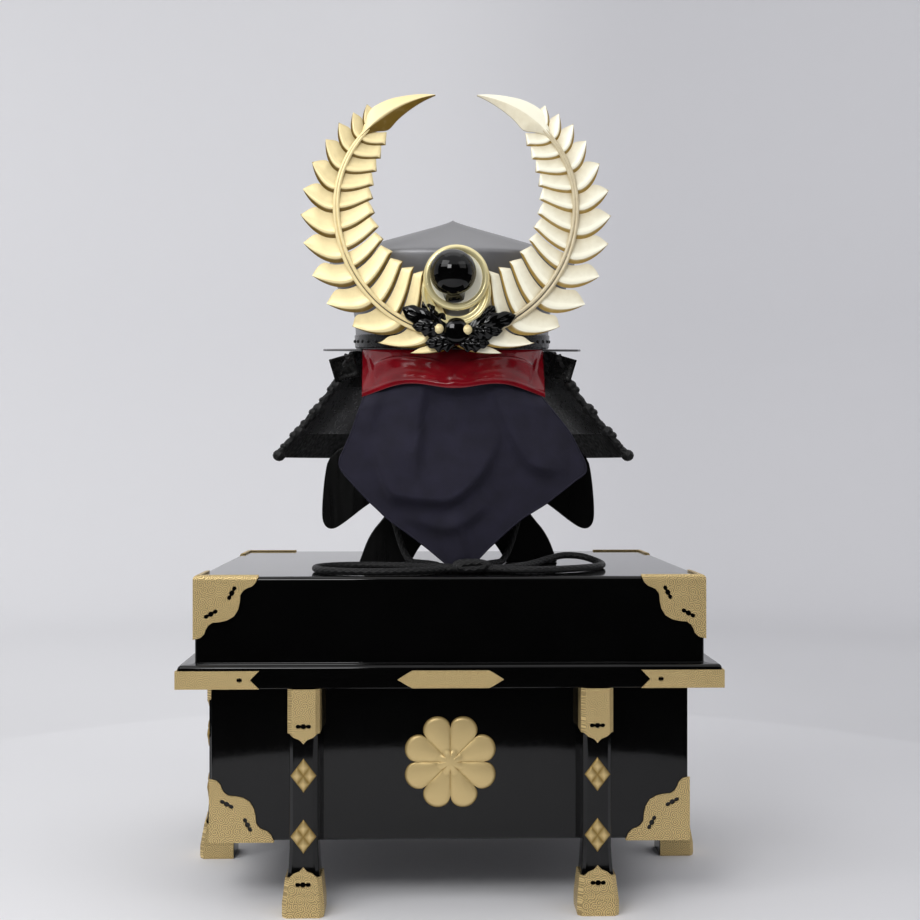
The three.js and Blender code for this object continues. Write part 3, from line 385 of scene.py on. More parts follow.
@dataclass(frozen=True)
class StudioPaper(Finish):
    """Seamless paper backdrop: matt and pale grey, with painted shade that deepens it a little towards +X."""

    def inputs(self, tree: bpy.types.NodeTree) -> dict[str, Any]:
        """Paints shade in from side to side, deeper towards +X, with the faintest mottle."""
        place = add_node(tree, "ShaderNodeTexCoord").outputs["Object"]
        mottle = add_node(tree, "ShaderNodeTexNoise", {"Vector": place, "Scale": 3.0, "Detail": 2.0})
        rough = add_node(tree, "ShaderNodeMapRange", {"Value": mottle.outputs["Fac"], "To Min": 0.75, "To Max": 0.9})
        apart = add_node(tree, "ShaderNodeSeparateXYZ", {"Vector": place})
        # Painted shade: the paper deepens towards +X, where the light falls off.
        share = add_node(tree, "ShaderNodeMapRange", {
            "Value": apart.outputs["X"], "From Min": -0.15, "From Max": 0.75,
        }, interpolation_type="SMOOTHSTEP")
        tint = add_node(tree, "ShaderNodeMix", {
            "Factor": share.outputs["Result"], "A": linear(self.colour), "B": linear(self.shade),
        }, data_type="RGBA")
        return {"Base Color": tint.outputs["Result"], "Roughness": rough.outputs["Result"]}


class Dress(Enum):
    """Every finish on the object, by what wears it."""

    CHEST = Urushi("black_urushi_chest", "#050505", "#020202", roughness=0.05)
    PLATE = Urushi("black_urushi_plates", "#0c0c0c", "#060606", roughness=0.24, wave_mm=14.0)
    # Black lacquer painted grey on the upper neck plates, for the pale floor that they reflect.
    NECK_PAINTED_REFLECTION = Urushi("black_urushi_neck_painted_reflection", "#343435", "#1e1e1f", roughness=0.3, wave_mm=14.0)
    PLATE_LOW = Urushi("dull_black_urushi_low_plate", "#040404", "#020202", roughness=0.6, wave_mm=14.0)
    CREST_BLACK = Urushi("black_urushi_crest", "#050505", "#020202", roughness=0.06, wave_mm=12.0)
    VISOR = Urushi("red_urushi", "#8a0d1b", "#580911", roughness=0.12, wave_mm=18.0)
    BOWL = SatinIron("satin_iron", "#8e8e90", "#6c6c6f")
    FITTING = EtchedGilt("etched_gilt_copper", "#f1d698", "#604724")
    # For the gilt finishes the second tone is painted shade, laid in by each piece's relief attribute.
    FERN_DEEP = LeafGilt("gilt_leaf_deep", "#fdeab2", "#6f5614", roughness=0.36, metallic=0.2)
    # A paler copy of the fern gilt, with the light on the right frond and the dish painted in.
    FERN_PAINTED_LIT = LeafGilt("gilt_leaf_painted_lit", "#fffbe4", "#a2843c", roughness=0.38, metallic=0.12)
    CUP = LeafGilt("gilt_cup", "#f4e7b0", "#94803c", roughness=0.24, metallic=0.5, grain=0.08)
    STUD = LeafGilt("gilt_studs", "#d9c088", "#94793f", roughness=0.42, metallic=0.55)
    CLOTH = WovenCotton("navy_cotton", "#201e31", "#13111f")
    CORD = BraidedSilk("black_braided_silk", "#08080a", "#020203")
    WOOD = StainedWood("black_stained_wood", "#0a0a0a", "#040404")
    PAPER = StudioPaper("studio_paper", "#e8e8ea", "#d6d6d9")
    DARK = StudioPaper("dark_studio_cloth", "#050505", "#050505")


# Surfaces


def bell(off: np.ndarray, width: Any) -> np.ndarray:
    """A bump of height 1 that falls away over its width, at a distance from its middle."""
    return np.exp(-((off / width) ** 2))


def circle(count: int) -> np.ndarray:
    """Angles of even steps round a circle."""
    return np.linspace(0, TURN, count, endpoint=False)


def eased(share: np.ndarray) -> np.ndarray:
    """A share held between 0 and 1, which leaves both slowly."""
    share = np.clip(share, 0, 1)
    return share * share * (3 - 2 * share)


def grid_faces(rows: int, columns: int, wrap_rows: bool = False, wrap_columns: bool = False) -> np.ndarray:
    """Joins each point of a grid with the next one along and the next row, as quads.

    Args:
        rows: number of rows.
        columns: number of points in a row.
        wrap_rows: whether the last row joins the first.
        wrap_columns: whether each row is a closed ring.

    Returns:
        Four point numbers for each quad.
    """
    r, c = np.meshgrid(
        np.arange(rows if wrap_rows else rows - 1), np.arange(columns if wrap_columns else columns - 1), indexing="ij"
    )
    down, along = (r + 1) % rows, (c + 1) % columns
    quads = [r * columns + c, r * columns + along, down * columns + along, down * columns + c]
    return np.stack(quads, axis=-1).reshape(-1, 4)


def cap_faces(columns: int, row: int) -> np.ndarray:
    """Closes a ring across, from one half of it to the other: point k meets point k from the ring's end."""
    k = np.arange(columns // 2 - 1)
    quads = np.stack([k, k + 1, columns - 2 - k, columns - 1 - k], axis=-1) + row * columns
    return quads


class Patchwork:
    """Collects surfaces in metres and puts them into one mesh."""

    def __init__(self) -> None:
        """Starts empty."""
        self.points: list[np.ndarray] = []
        self.faces: list[np.ndarray] = []
        self.uvs: list[np.ndarray] = []
        self.painted_light: list[np.ndarray] = []
        self.count = 0

    def grid(
        self,
        points: np.ndarray,
        rings: bool = False,
        loop: bool = False,
        capped: bool = False,
        uv: np.ndarray | None = None,
        painted_light: np.ndarray | float = 1.0,
    ) -> None:
        """Adds a grid of points.

        Args:
            points: rows by columns by 3, in millimetres.
            rings: whether each row is a closed ring.
            loop: whether the last row joins the first.
            capped: whether the first and last ring are closed across.
            uv: rows by columns by 2, where a pattern needs it.
            painted_light: the attribute of painted shade and highlight, for each point or the same for all.
        """
        rows, columns = points.shape[:2]
        faces = [grid_faces(rows, columns, loop, rings)]
        if capped:
            faces += [cap_faces(columns, 0)[:, ::-1], cap_faces(columns, rows - 1)]
        self.points.append(mm(points).reshape(-1, 3))
        self.faces += [quads + self.count for quads in faces]
        flat = np.zeros((rows, columns, 2)) if uv is None else uv
        self.uvs.append(np.asarray(flat, float).reshape(-1, 2))
        self.painted_light.append(np.broadcast_to(np.asarray(painted_light, float), (rows, columns)).reshape(-1))
        self.count += rows * columns

    def sheet(
        self, flat: tuple[np.ndarray, np.ndarray], front_y: np.ndarray, back_y: float, painted_light: np.ndarray
    ) -> None:
        """Adds an upright sheet with a shaped front and a level back, the back painted at 0.3 towards the bright
        colour.

        Args:
            flat: the x and z of its points.
            front_y: where its front is.
            back_y: where its back is.
            painted_light: the front's painted shade and highlight, from 0 to 1.
        """
        x, z = flat
        faces = [np.stack([x, y + 0 * x, z], axis=-1) for y in (front_y, back_y)]
        both = slab(painted_light[..., None], 0.3 + 0 * painted_light[..., None])[..., 0]
        self.grid(slab(*faces), rings=True, capped=True, painted_light=both)

    def build(
        self,
        name: str,
        dress: Dress,
        slot: str,
        replaces: tuple[str, ...] = (),
        crease: float = 35.0,
        bevel_mm: float = 0.0,
    ) -> bpy.types.Object:
        """Makes the piece, with its doubled points merged and its faces turned outwards.

        Args:
            name: the piece's name.
            dress: its finish.
            slot: the record's material slot; not used.
            replaces: the CAD nodes it stands for.
            crease: edges sharper than this many degrees stay sharp.
            bevel_mm: width of the rounding on those edges.

        Returns:
            The new object.
        """
        mesh = bpy.data.meshes.new(name)
        points, faces = np.concatenate(self.points), np.concatenate(self.faces)
        mesh.from_pydata(points.tolist(), [], faces.tolist())
        corner = np.empty(len(mesh.loops), np.int32)
        mesh.loops.foreach_get("vertex_index", corner)
        mesh.uv_layers.new(name="UVMap").uv.foreach_set("vector", np.concatenate(self.uvs)[corner].ravel())
        # The relief attribute carries each point's painted shade and highlight.
        height = mesh.attributes.new("painted_light", "FLOAT", "POINT")
        height.data.foreach_set("value", np.concatenate(self.painted_light).astype(np.float32))
        work = bmesh.new()
        work.from_mesh(mesh)
        bmesh.ops.remove_doubles(work, verts=work.verts, dist=2e-6)
        bmesh.ops.dissolve_degenerate(work, edges=work.edges, dist=1e-7)
        bmesh.ops.recalc_face_normals(work, faces=work.faces)
        work.to_mesh(mesh)
        work.free()
        mesh.shade_smooth()
        mesh.set_sharp_from_angle(angle=math.radians(crease))
        return place_piece(name, mesh, dress, replaces, bevel_mm, crease)


def place_piece(
    name: str,
    mesh: bpy.types.Mesh,
    dress: Dress,
    replaces: tuple[str, ...] = (),
    bevel_mm: float = 0.0,
    crease: float = 35.0,
) -> bpy.types.Object:
    """Puts a mesh into the scene as a piece of the object, riding on its one body.

    Args:
        name: the piece's name.
        mesh: its mesh, in the row frame.
        dress: its finish.
        replaces: the CAD nodes it stands for.
        bevel_mm: width of the rounding on sharp edges.
        crease: edges sharper than this many degrees are rounded.

    Returns:
        The new object.
    """
    piece = bpy.data.objects.new(name, mesh)
    bpy.context.collection.objects.link(piece)
    mesh.materials.append(dress.value.material())
    if bevel_mm:
        bevel = piece.modifiers.new("edge", "BEVEL")
        bevel.width, bevel.segments = bevel_mm * 0.001, 2
        bevel.limit_method, bevel.angle_limit = "ANGLE", math.radians(crease)
        bevel.harden_normals = True
    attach(piece, "root")
    if replaces:
        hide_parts(*replaces)
    log.info("%s: %d faces", name, len(mesh.polygons))
    return piece


def through(table: list[tuple[float, ...]], at: np.ndarray) -> np.ndarray:
    """Smooth values between the rows of a table, by a cubic through each row with the slope of its neighbours.

    Args:
        table: rows of a key and one or more values.
        at: the keys to read at, of any shape.

    Returns:
        The values, with one more axis for the table's columns.
    """
    rows = np.asarray(table, float)
    keys, values = rows[:, 0], rows[:, 1:]
    step = np.diff(keys)[:, None]
    slope = np.diff(values, axis=0) / step
    tangent = np.zeros_like(values)
    before, after = slope[:-1], slope[1:]
    same = before * after > 0
    tangent[1:-1] = np.where(same, 2 * before * after / np.where(same, before + after, 1), 0)
    tangent[0], tangent[-1] = slope[0], slope[-1]
    at = np.clip(np.asarray(at, float), keys[0], keys[-1])
    k = np.clip(np.searchsorted(keys, at, side="right") - 1, 0, len(keys) - 2)
    h = keys[k + 1] - keys[k]
    t = ((at - keys[k]) / h)[..., None]
    h = h[..., None]
    return (
        (2 * t**3 - 3 * t**2 + 1) * values[k]
        + (t**3 - 2 * t**2 + t) * h * tangent[k]
        + (3 * t**2 - 2 * t**3) * values[k + 1]
        + (t**3 - t**2) * h * tangent[k + 1]
    )


def even_line(points: np.ndarray, count: int) -> np.ndarray:
    """A smooth line through points, cut into even steps.

    Each span is a cubic whose slope at a point is half the way from the one before to the one after.

    Args:
        points: the points to pass through, N by 2 or 3.
        count: number of points on the line.

    Returns:
        The line's points, evenly spaced along it.
    """
    p = np.asarray(points, float)
    ends = np.concatenate([[2 * p[0] - p[1]], p, [2 * p[-1] - p[-2]]])
    t = np.linspace(0, len(p) - 1, 16 * len(p))
    k = np.minimum(t.astype(int), len(p) - 2)
    f = (t - k)[:, None]
    a, b, c, d = ends[k], ends[k + 1], ends[k + 2], ends[k + 3]
    line = b + 0.5 * f * (c - a + f * (2 * a - 5 * b + 4 * c - d + f * (3 * (b - c) + d - a)))
    reach = np.concatenate([[0], np.cumsum(np.linalg.norm(np.diff(line, axis=0), axis=1))])
    even = np.linspace(0, reach[-1], count)
    return np.stack([np.interp(even, reach, line[:, i]) for i in range(p.shape[1])], axis=-1)


def tube(
    line: np.ndarray,
    radius: np.ndarray | float,
    sides: int,
    squash: float = 1.0,
    up: tuple[float, float, float] | None = None,
) -> tuple[np.ndarray, np.ndarray]:
    """Carries a round section along a line.

    The section's second axis is the normal of the plane that fits the line best, made square to the line, and the
    first is square to both.

    Args:
        line: the centre line, N by 3, in millimetres.
        radius: the section's radius, at each point or the same for all.
        sides: number of points round the section.
        squash: the share of the radius that the second axis has.
        up: a direction to use in place of the plane's normal.

    Returns:
        The grid of points, and its UV map in metres round and along.
    """
    ahead = np.gradient(line, axis=0)
    ahead /= np.linalg.norm(ahead, axis=1, keepdims=True)
    normal = np.linalg.svd(line - line.mean(axis=0), full_matrices=False)[2][-1] if up is None else np.array(up)
    level = np.cross(normal, ahead)
    level /= np.linalg.norm(level, axis=1, keepdims=True)
    rise = np.cross(ahead, level)
    angle = circle(sides)
    reach = np.broadcast_to(np.asarray(radius, float), (len(line),))[:, None, None]
    points = line[:, None] + reach * (
        np.cos(angle)[None, :, None] * level[:, None] + squash * np.sin(angle)[None, :, None] * rise[:, None]
    )
    along = np.concatenate([[0], np.cumsum(np.linalg.norm(np.diff(line, axis=0), axis=1))])
    uv = np.stack(np.broadcast_arrays(angle[None] * reach[..., 0], along[:, None]), axis=-1) * 0.001
    return points, uv


def slab(front: np.ndarray, back: np.ndarray) -> np.ndarray:
    """Joins a surface's front and back into rings, so that a loft of them is one closed wall."""
    return np.concatenate([front, back[:, ::-1]], axis=1)


def revolve(profile: np.ndarray, centre: tuple[float, float, float], steps: int, count: int) -> np.ndarray:
    """Turns a profile of [radius, height] about the line through centre along -Y.

    Args:
        profile: the points to pass through, in order round the section.
        centre: where the axis starts.
        steps: number of steps round the axis.
        count: number of points along the profile.

    Returns:
        The grid of points: a row for each point of the profile, a ring round the axis in each.
    """
    line = even_line(profile, count)
    angle = circle(steps)
    radius, height = line[:, :1], line[:, 1:]
    x = centre[0] + radius * np.cos(angle)
    z = centre[2] + radius * np.sin(angle)
    y = centre[1] - height + 0 * angle
    return np.stack([x, y, z], axis=-1)


# Studio


@dataclass
class Studio:
    """The camera at the photograph's angle, soft lights and a seamless pale floor that curves up all round."""

    eye: tuple[float, float, float] = (-23.3, -1526.0, 422.0)
    yaw_degrees: float = -1.39
    pitch_degrees: float = 0.2
    lens_mm: float = 54.78
    floor_radius: float = 2300.0
    sweep_radius: float = 900.0
    wall_height: float = 2300.0

    def camera(self) -> None:
        """Makes the camera."""
        data = bpy.data.cameras.new("camera")
        data.sensor_width, data.lens = 36.0, self.lens_mm
        data.clip_start, data.clip_end = 0.05, 30.0
        camera = bpy.data.objects.new("camera", data)
        camera.location = mm(self.eye)
        camera.rotation_euler = (math.radians(90 + self.pitch_degrees), 0.0, math.radians(self.yaw_degrees))
        bpy.context.collection.objects.link(camera)
        bpy.context.scene.camera = camera

    def lathe(
        self, name: str, profile: np.ndarray, paper: Dress, start: float = 0.0, end: float = 360.0
    ) -> bpy.types.Object:
        """Turns a profile of [radius, height] about Z.

        Args:
            name: the object's name.
            profile: the points from the middle outwards.
            paper: its finish.
            start: where the turn starts, in degrees from +X.
            end: where it ends.

        Returns:
            The new object.
        """
        closed = end - start >= 360
        turn = np.radians(np.linspace(start, end, 96, endpoint=not closed))
        radius, height = profile[:, :1], profile[:, 1:]
        points = np.stack([radius * np.cos(turn), radius * np.sin(turn), height + 0 * turn], axis=-1)
        mesh = bpy.data.meshes.new(name)
        faces = grid_faces(len(profile), len(turn), wrap_columns=closed)
        mesh.from_pydata(mm(points).reshape(-1, 3).tolist(), [], faces[:, ::-1].tolist())
        mesh.shade_smooth()
        mesh.materials.append(paper.value.material())
        turned = bpy.data.objects.new(name, mesh)
        bpy.context.collection.objects.link(turned)
        return turned

    def backdrop(self) -> None:
        """Makes the pale floor with its sweep, and the dark cloths that the lacquer reflects beyond the floor.

        The cloths show in reflections alone: one lies round the floor from just outside the chest, and the other
        hangs behind the camera.
        """
        angle = np.linspace(0, math.pi / 2, 17)
        radius = np.concatenate([[0, 900, 1600], self.floor_radius + self.sweep_radius * np.sin(angle)])
        height = np.concatenate([[0, 0, 0], self.sweep_radius * (1 - np.cos(angle))])
        wall = [[self.floor_radius + self.sweep_radius, self.wall_height]]
        self.lathe("backdrop", np.concatenate([np.column_stack([radius, height]), wall]), Dress.PAPER)
        skirt = self.lathe("dark_skirt", np.array([[930, 2], [2200, 4], [2560, 120], [2620, 330.0]]), Dress.DARK)
        hung = self.lathe("dark_drape", np.array([[2640, 330], [2700, 2200.0]]), Dress.DARK, 195, 345)
        for cloth in (skirt, hung):
            cloth.visible_camera = cloth.visible_diffuse = cloth.visible_shadow = False

    def lights(self) -> None:
        """Makes six soft boxes, two of them on the wall, and an even pale surround.

        Each box is [name, place, aim, width, height, watts].
        """
        boxes = [
            ("key", (-1300, -1350, 1900), (0, 0, 450), 1300, 1200, 14.0),
            ("fill", (1500, -1350, 1700), (0, 0, 400), 1300, 1200, 4.0),
            ("top", (0, 300, 2200), (0, 40, 400), 1600, 1400, 4.0),
            ("crest", (-420, -1380, 1150), (0, -140, 680), 420, 420, 5.5),
            ("wall_left", (-1500, 1100, 1500), (-1100, 3000, 900), 1200, 1200, 5.0),
            ("wall_right", (1300, 1100, 1500), (900, 3000, 900), 1200, 1200, 3.0),
        ]
        for name, place, aim, width, height, watts in boxes:
            data = bpy.data.lights.new(name, "AREA")
            data.shape, data.size, data.size_y, data.energy = "RECTANGLE", width * 0.001, height * 0.001, watts
            light = bpy.data.objects.new(name, data)
            place, aim = mm(place), mm(aim)
            away = place - aim
            away /= np.linalg.norm(away)
            light.location = place
            light.rotation_euler = (math.acos(away[2]), 0.0, math.atan2(away[1], away[0]) + math.pi / 2)
            light.visible_camera = False
            bpy.context.collection.objects.link(light)
        world = bpy.data.worlds.new("surround")
        world.use_nodes = True
        world.node_tree.nodes["Background"].inputs["Color"].default_value = linear("#e8e8ea")
        world.node_tree.nodes["Background"].inputs["Strength"].default_value = 0.9
        bpy.context.scene.world = world
        bpy.context.scene.view_settings.view_transform = "Standard"

    def build(self) -> None:
        """Makes the camera, the backdrop and the lights."""
        self.camera()
        self.backdrop()
        self.lights()


# Chin cord


@dataclass
class ChinCord:
    """The chin cord: two drops from the bowl's rim, and a bow on the lid whose two loops leave one knot."""

    diameter: float = 7.0
    lid_top: float = 316.0
    knot_centre: tuple[float, float] = (22.0, -148.0)
    routes: dict[str, tuple[float, list[tuple[float, float, float]]]] = field(default_factory=dict)

    def __post_init__(self) -> None:
        """Sets each cord's real length and the points that it follows, as in the CAD."""
        lie = self.lid_top + SEAT + self.diameter / 2
        x, y = self.knot_centre
        left, right, back = x - 20 - SEAT, x + 20 + SEAT, y + 17 + SEAT
        self.routes = {
            "cord_drop_left": (0.338, [
                (-89, -20, 553), (-89, -20, 520), (-86, -22, 480), (-78, -26, 440), (-68, -31, 400),
                (-57, -37, 362), (-48, -44, 334), (-40, -52, lie + 1.5), (-31, -61, lie), (-23, -72, lie),
                (-16, -85, lie), (-12, -99, lie), (-10, -111, lie), (-4, -122, lie), (7, back, lie)]),
            "cord_drop_right": (0.3267, [
                (99, -20, 553), (99, -20, 520), (97, -22, 480), (92, -26, 440), (84, -31, 400),
                (74, -37, 362), (65, -44, 334), (57, -52, lie + 1.5), (50, -61, lie), (44, -72, lie),
                (39, -85, lie), (35, -99, lie), (32, -114, lie), (31, -124, lie), (31, back, lie)]),
            "cord_loop_left": (0.3447, [
                (left, -142, lie), (-8, -139, lie), (-20, -129, lie), (-38, -112, lie), (-60, -100, lie),
                (-84, -95, lie), (-106, -97, lie), (-123, -108, lie), (-132, -126, lie), (-131, -148, lie),
                (-120, -168, lie), (-101, -181, lie), (-78, -186, lie), (-54, -185, lie), (-32, -178, lie),
                (-16, -166, lie), (-7, -157, lie), (left, -154, lie)]),
            "cord_loop_right": (0.3381, [
                (right, -142, lie), (52, -139, lie), (63, -127, lie), (74, -108, lie), (87, -88, lie + 1),
                (103, -69, lie + 4), (121, -56, lie + 7), (140, -55, lie + 6), (154, -67, lie + 2),
                (158, -87, lie), (153, -110, lie), (140, -131, lie), (121, -148, lie), (99, -160, lie),
                (78, -165, lie), (62, -161, lie), (53, -156, lie), (right, -154, lie)]),
        }

    def knot(self) -> bpy.types.Object:
        """Makes the knot: three turns round the middle, and the two loops' roots slanting under them."""
        x, y = self.knot_centre
        radius = self.diameter / 2 - 0.1
        low = self.lid_top + SEAT + radius
        turn = circle(48)
        work = Patchwork()
        for k, shift in enumerate((-9.6, 0.0, 9.6)):
            line = np.stack([
                x + 3.2 * np.sin(turn + k) + 12.6 * np.sign(np.cos(turn)) * np.abs(np.cos(turn)) ** 0.8,
                y + shift + 2.0 * np.cos(turn - 0.6),
                low + 3.0 + 2.9 * np.sin(turn),
            ], axis=-1)
            points, uv = tube(np.concatenate([line, line[:1]]), radius, 12)
            work.grid(points[:-1], rings=True, loop=True, uv=uv[:-1])
        for side in (-1, 1):
            for start, end in (((19.8, 6.0), (4.0, -7.0)), ((19.8, -6.0), (4.0, 7.0))):
                line = even_line([(x + side * start[0], y + start[1], low), (x + side * 12, y + start[1] * 0.8, low),
                                  (x + side * end[0], y + end[1] * 0.4, low + 1.0)], 10)
                points, uv = tube(line, radius, 12)
                work.grid(points, rings=True, capped=True, uv=uv)
        return work.build("chin_cord_knot", Dress.CORD, "cord", ("cord_knot",))

    def build(self) -> None:
        """Makes the four cords and their knot."""
        knot = self.knot()
        for name, (length, route) in self.routes.items():
            line = even_line(route, 150)
            points, uv = tube(line, self.diameter / 2, 14)
            work = Patchwork()
            work.grid(points, rings=True, capped=True, uv=uv)
            piece = work.build("chin_" + name, Dress.CORD, "cord", (name,), crease=60)


# Chest


def rounded_rectangle(half_x: float, half_y: float, radius: float, steps: int = 6) -> np.ndarray:
    """A level ring round a rectangle with rounded corners, anticlockwise from the middle of the right side's corner.

    Args:
        half_x: half its width.
        half_y: half its depth.
        radius: the corners' radius.
        steps: steps on each corner.

    Returns:
        Points as [x, y].
    """
    angle = np.linspace(0, math.pi / 2, steps + 1)[None] + np.arange(4)[:, None] * math.pi / 2
    centre = np.array([[1, 1], [-1, 1], [-1, -1], [1, -1]]) * [half_x - radius, half_y - radius]
    ring = centre[:, None] + radius * np.stack([np.cos(angle), np.sin(angle)], axis=-1)
    return ring.reshape(-1, 2)


@dataclass
class Chest:
    """The storage chest: a lid with a moulded ledge over the walls of a box, six legs, gilt fittings and a flower."""

    body_bottom: float = 63.0
    body_width: float = 457.4
    body_depth: float = 365.4
    body_wall: float = 12.0
    body_top: float = 303.7
    lid_width: float = 484.0
    lid_depth: float = 392.0
    lid_top: float = 316.0
    lid_roof: float = 12.0
    lid_edge: float = 4.0
    ledge_bottom: float = 212.0
    ledge_top: float = 234.0
    ledge_out: float = 14.5
    ledge_edge: float = 4.0
    leg_spacing: float = 276.0
    leg_width: float = 27.0
    leg_proud: float = 28.0
    foot_width: float = 36.0
    foot_proud: float = 35.0
    foot_height: float = 62.0
    leg_chamfer: float = 4.0
    stud_heights: tuple[float, float] = (131.0, 74.0)
    stud_size: tuple[float, float] = (24.4, 32.0)
    rosette_radius: float = 46.0
    rosette_height: float = 137.5

    def shell(self, name: str, rows: list[tuple[float, float, float]], node: str) -> None:
        """Carries a section of [outwards from the lid's faces, height, corner radius] round the chest.

        Args:
            name: the piece's name.
            rows: the section, from the closed inside to the closed outside.
            node: the CAD node that it stands for.
        """
        rings = []
        for out, height, radius in rows:
            ring = rounded_rectangle(self.lid_width / 2 + out, self.lid_depth / 2 + out, radius)
            rings.append(np.column_stack([ring, np.full(len(ring), height)]))
        work = Patchwork()
        work.grid(np.stack(rings), rings=True, capped=True)
        work.build(name, Dress.CHEST, "lacquer", (node,), crease=40, bevel_mm=0.5)

    def edge_rows(self, out: float, top: float, radius: float, corner: float) -> list[tuple[float, float, float]]:
        """A quarter round from the face at `out` up to the level `top`, and a ring inside it that keeps it flat."""
        angle = np.linspace(0, math.pi / 2, 7)
        inward, below = radius * (1 - np.cos(angle)), radius * (1 - np.sin(angle))
        rows = list(zip((out - inward).tolist(), (top - below).tolist(), np.maximum(corner - inward, 0.6).tolist()))
        return rows + [(rows[-1][0] - 1.0, top, 0.6)]

    def lid(self) -> None:
        """Makes the lid with its ledge."""
        inside = self.body_width / 2 + SEAT - self.lid_width / 2
        rows = [(inside, self.lid_top - self.lid_roof, 1.0), (inside, self.ledge_bottom, 1.0),
                (self.ledge_out - 1.0, self.ledge_bottom, 3.0), (self.ledge_out, self.ledge_bottom + 1.0, 4.0)]
        rows += self.edge_rows(self.ledge_out, self.ledge_top, self.ledge_edge, 4.0)
        rows += [(1.5, self.ledge_top, 3.5), (0.4, self.ledge_top + 0.5, 3.2), (0.0, self.ledge_top + 1.6, 3.0)]
        rows += self.edge_rows(0.0, self.lid_top, self.lid_edge, 3.0)
        self.shell("chest_lid_shell", rows, "chest_lid")

    def body(self) -> None:
        """Makes the box below the lid."""
        outside = (self.body_width - self.lid_width) / 2
        inside = outside - self.body_wall
        rows = [(inside, self.body_bottom + self.body_wall, 1.0), (inside, self.body_top, 1.0),
                (outside, self.body_top, 2.0), (outside, self.body_bottom + 1.5, 2.0),
                (outside - 1.5, self.body_bottom, 1.0)]
        self.shell("chest_body_shell", rows, "chest_body")

    def stances(self) -> dict[str, tuple[float, float, int]]:
        """Where each leg stands, and how many quarters it is turned from facing the front."""
        x, y = self.body_width / 2 + SEAT, self.body_depth / 2 + SEAT
        half = self.leg_spacing / 2
        return {"front_left": (-half, -y, 0), "front_right": (half, -y, 0), "side_right": (x, 0, 1),
                "back_right": (half, y, 2), "back_left": (-half, y, 2), "side_left": (-x, 0, 3)}

    def turned(self, points: np.ndarray, stance: tuple[float, float, int]) -> np.ndarray:
        """Turns points from a leg's own place, facing -Y, to its stance."""
        cos, sin = (1, 0, -1, 0)[stance[2]], (0, 1, 0, -1)[stance[2]]
        x, y = points[..., 0] * cos - points[..., 1] * sin, points[..., 0] * sin + points[..., 1] * cos
        return np.stack([x + stance[0], y + stance[1], points[..., 2]], axis=-1)

    def leg(self, name: str, stance: tuple[float, float, int]) -> None:
        """Makes one leg: a chamfered section that swells into the foot, and its two lozenge studs."""
        up = np.concatenate([np.linspace(0, 1, 26), [1.5, (self.ledge_bottom - SEAT) / self.foot_height]])
        flare = through([(0, 0.9), (0.05, 1), (0.22, 0.98), (0.45, 0.62), (0.7, 0.24), (1, 0)], up)[:, 0]
        half = (self.leg_width + flare * (self.foot_width - self.leg_width)) / 2
        face = -(self.leg_proud + flare * (self.foot_proud - self.leg_proud))
        corner = self.leg_chamfer
        x = np.stack([half, -half, -half, -half + corner, half - corner, half], axis=-1)
        y = np.stack([0 * face, 0 * face, face + corner, face, face, face + corner], axis=-1)
        z = np.repeat(up[:, None] * self.foot_height, 6, axis=1)
        work = Patchwork()
        work.grid(self.turned(np.stack([x, y, z], axis=-1), stance), rings=True, capped=True)
        work.build("leg_post_" + name, Dress.CHEST, "lacquer", ("leg_" + name,), bevel_mm=0.9)
        studs = Patchwork()
        u, v = np.meshgrid(np.linspace(-1, 1, 25), np.linspace(-1, 1, 25), indexing="ij")
        rim = np.clip((1 - np.maximum(np.abs(u), np.abs(v))) * 9, 0, 1)
        part = 1 - np.maximum(np.abs(2 * np.abs(u) - 1), np.abs(2 * np.abs(v) - 1))
        rise = rim * (0.9 + 1.4 * np.clip(part * 1.15, 0, 1) ** 0.8)
        # Painted highlight where the facets rise highest, painted shade lower down.
        both = slab(part[..., None], part[..., None])[..., 0]
        for height in self.stud_heights:
            across = (u - v) / 4 * self.stud_size[0]
            tall = height + (u + v) / 4 * self.stud_size[1]
            base = np.interp(tall / self.foot_height, up, face)
            front = np.stack([across, base - 0.4 - rise, tall], axis=-1)
            back = np.stack([across, base + 0.3, tall], axis=-1)
            studs.grid(self.turned(slab(front, back), stance), rings=True, capped=True, painted_light=both)
        studs.build("leg_studs_" + name, Dress.STUD, "gilt", crease=50)

    def rosette(self) -> None:
        """Makes the flower on the front: eight petals round a domed eye.

        The edge is at 0.72 + 0.28 of the square root of |sin 4a|, and each petal is a soft mound with a groove on
        either side of it.
        """
        angle = circle(192)
        share = np.concatenate([np.linspace(0, 0.9, 26), [0.94, 0.97, 0.99, 1.0]])[:, None]
        petal = np.abs(np.sin(4 * angle))[None]
        reach = self.rosette_radius * (0.72 + 0.28 * np.sqrt(petal)) * share
        eye = np.clip(1 - (share / 0.27) ** 2, 0, 1) ** 0.5
        mound = petal**0.6 * np.sin(math.pi * np.clip((share - 0.22) / 0.8, 0, 1)) ** 0.6
        edge = np.clip((1 - share) / 0.06, 0, 1) ** 0.5
        rise = edge * (1.6 + 2.0 * mound * (share > 0.26)) + 3.0 * eye
        y = -self.body_depth / 2 - SEAT - rise
        front = np.stack([reach * np.cos(angle), y, self.rosette_height + reach * np.sin(angle)], axis=-1)
        back = front[-1:].copy()
        back[..., 1] = -self.body_depth / 2 - SEAT
        middle = back.copy()
        middle[..., 0], middle[..., 2] = 0.0, self.rosette_height
        # Painted shade in the low parts and a painted highlight on the high ones, by height.
        painted_light = np.clip(rise / 3.4, 0, 1)
        work = Patchwork()
        work.grid(np.concatenate([front, back, middle]), rings=True,
                  painted_light=np.concatenate([painted_light, painted_light[-1:], painted_light[-1:]]))
        work.build("front_flower", Dress.STUD, "gilt", ("front_rosette",), crease=60)

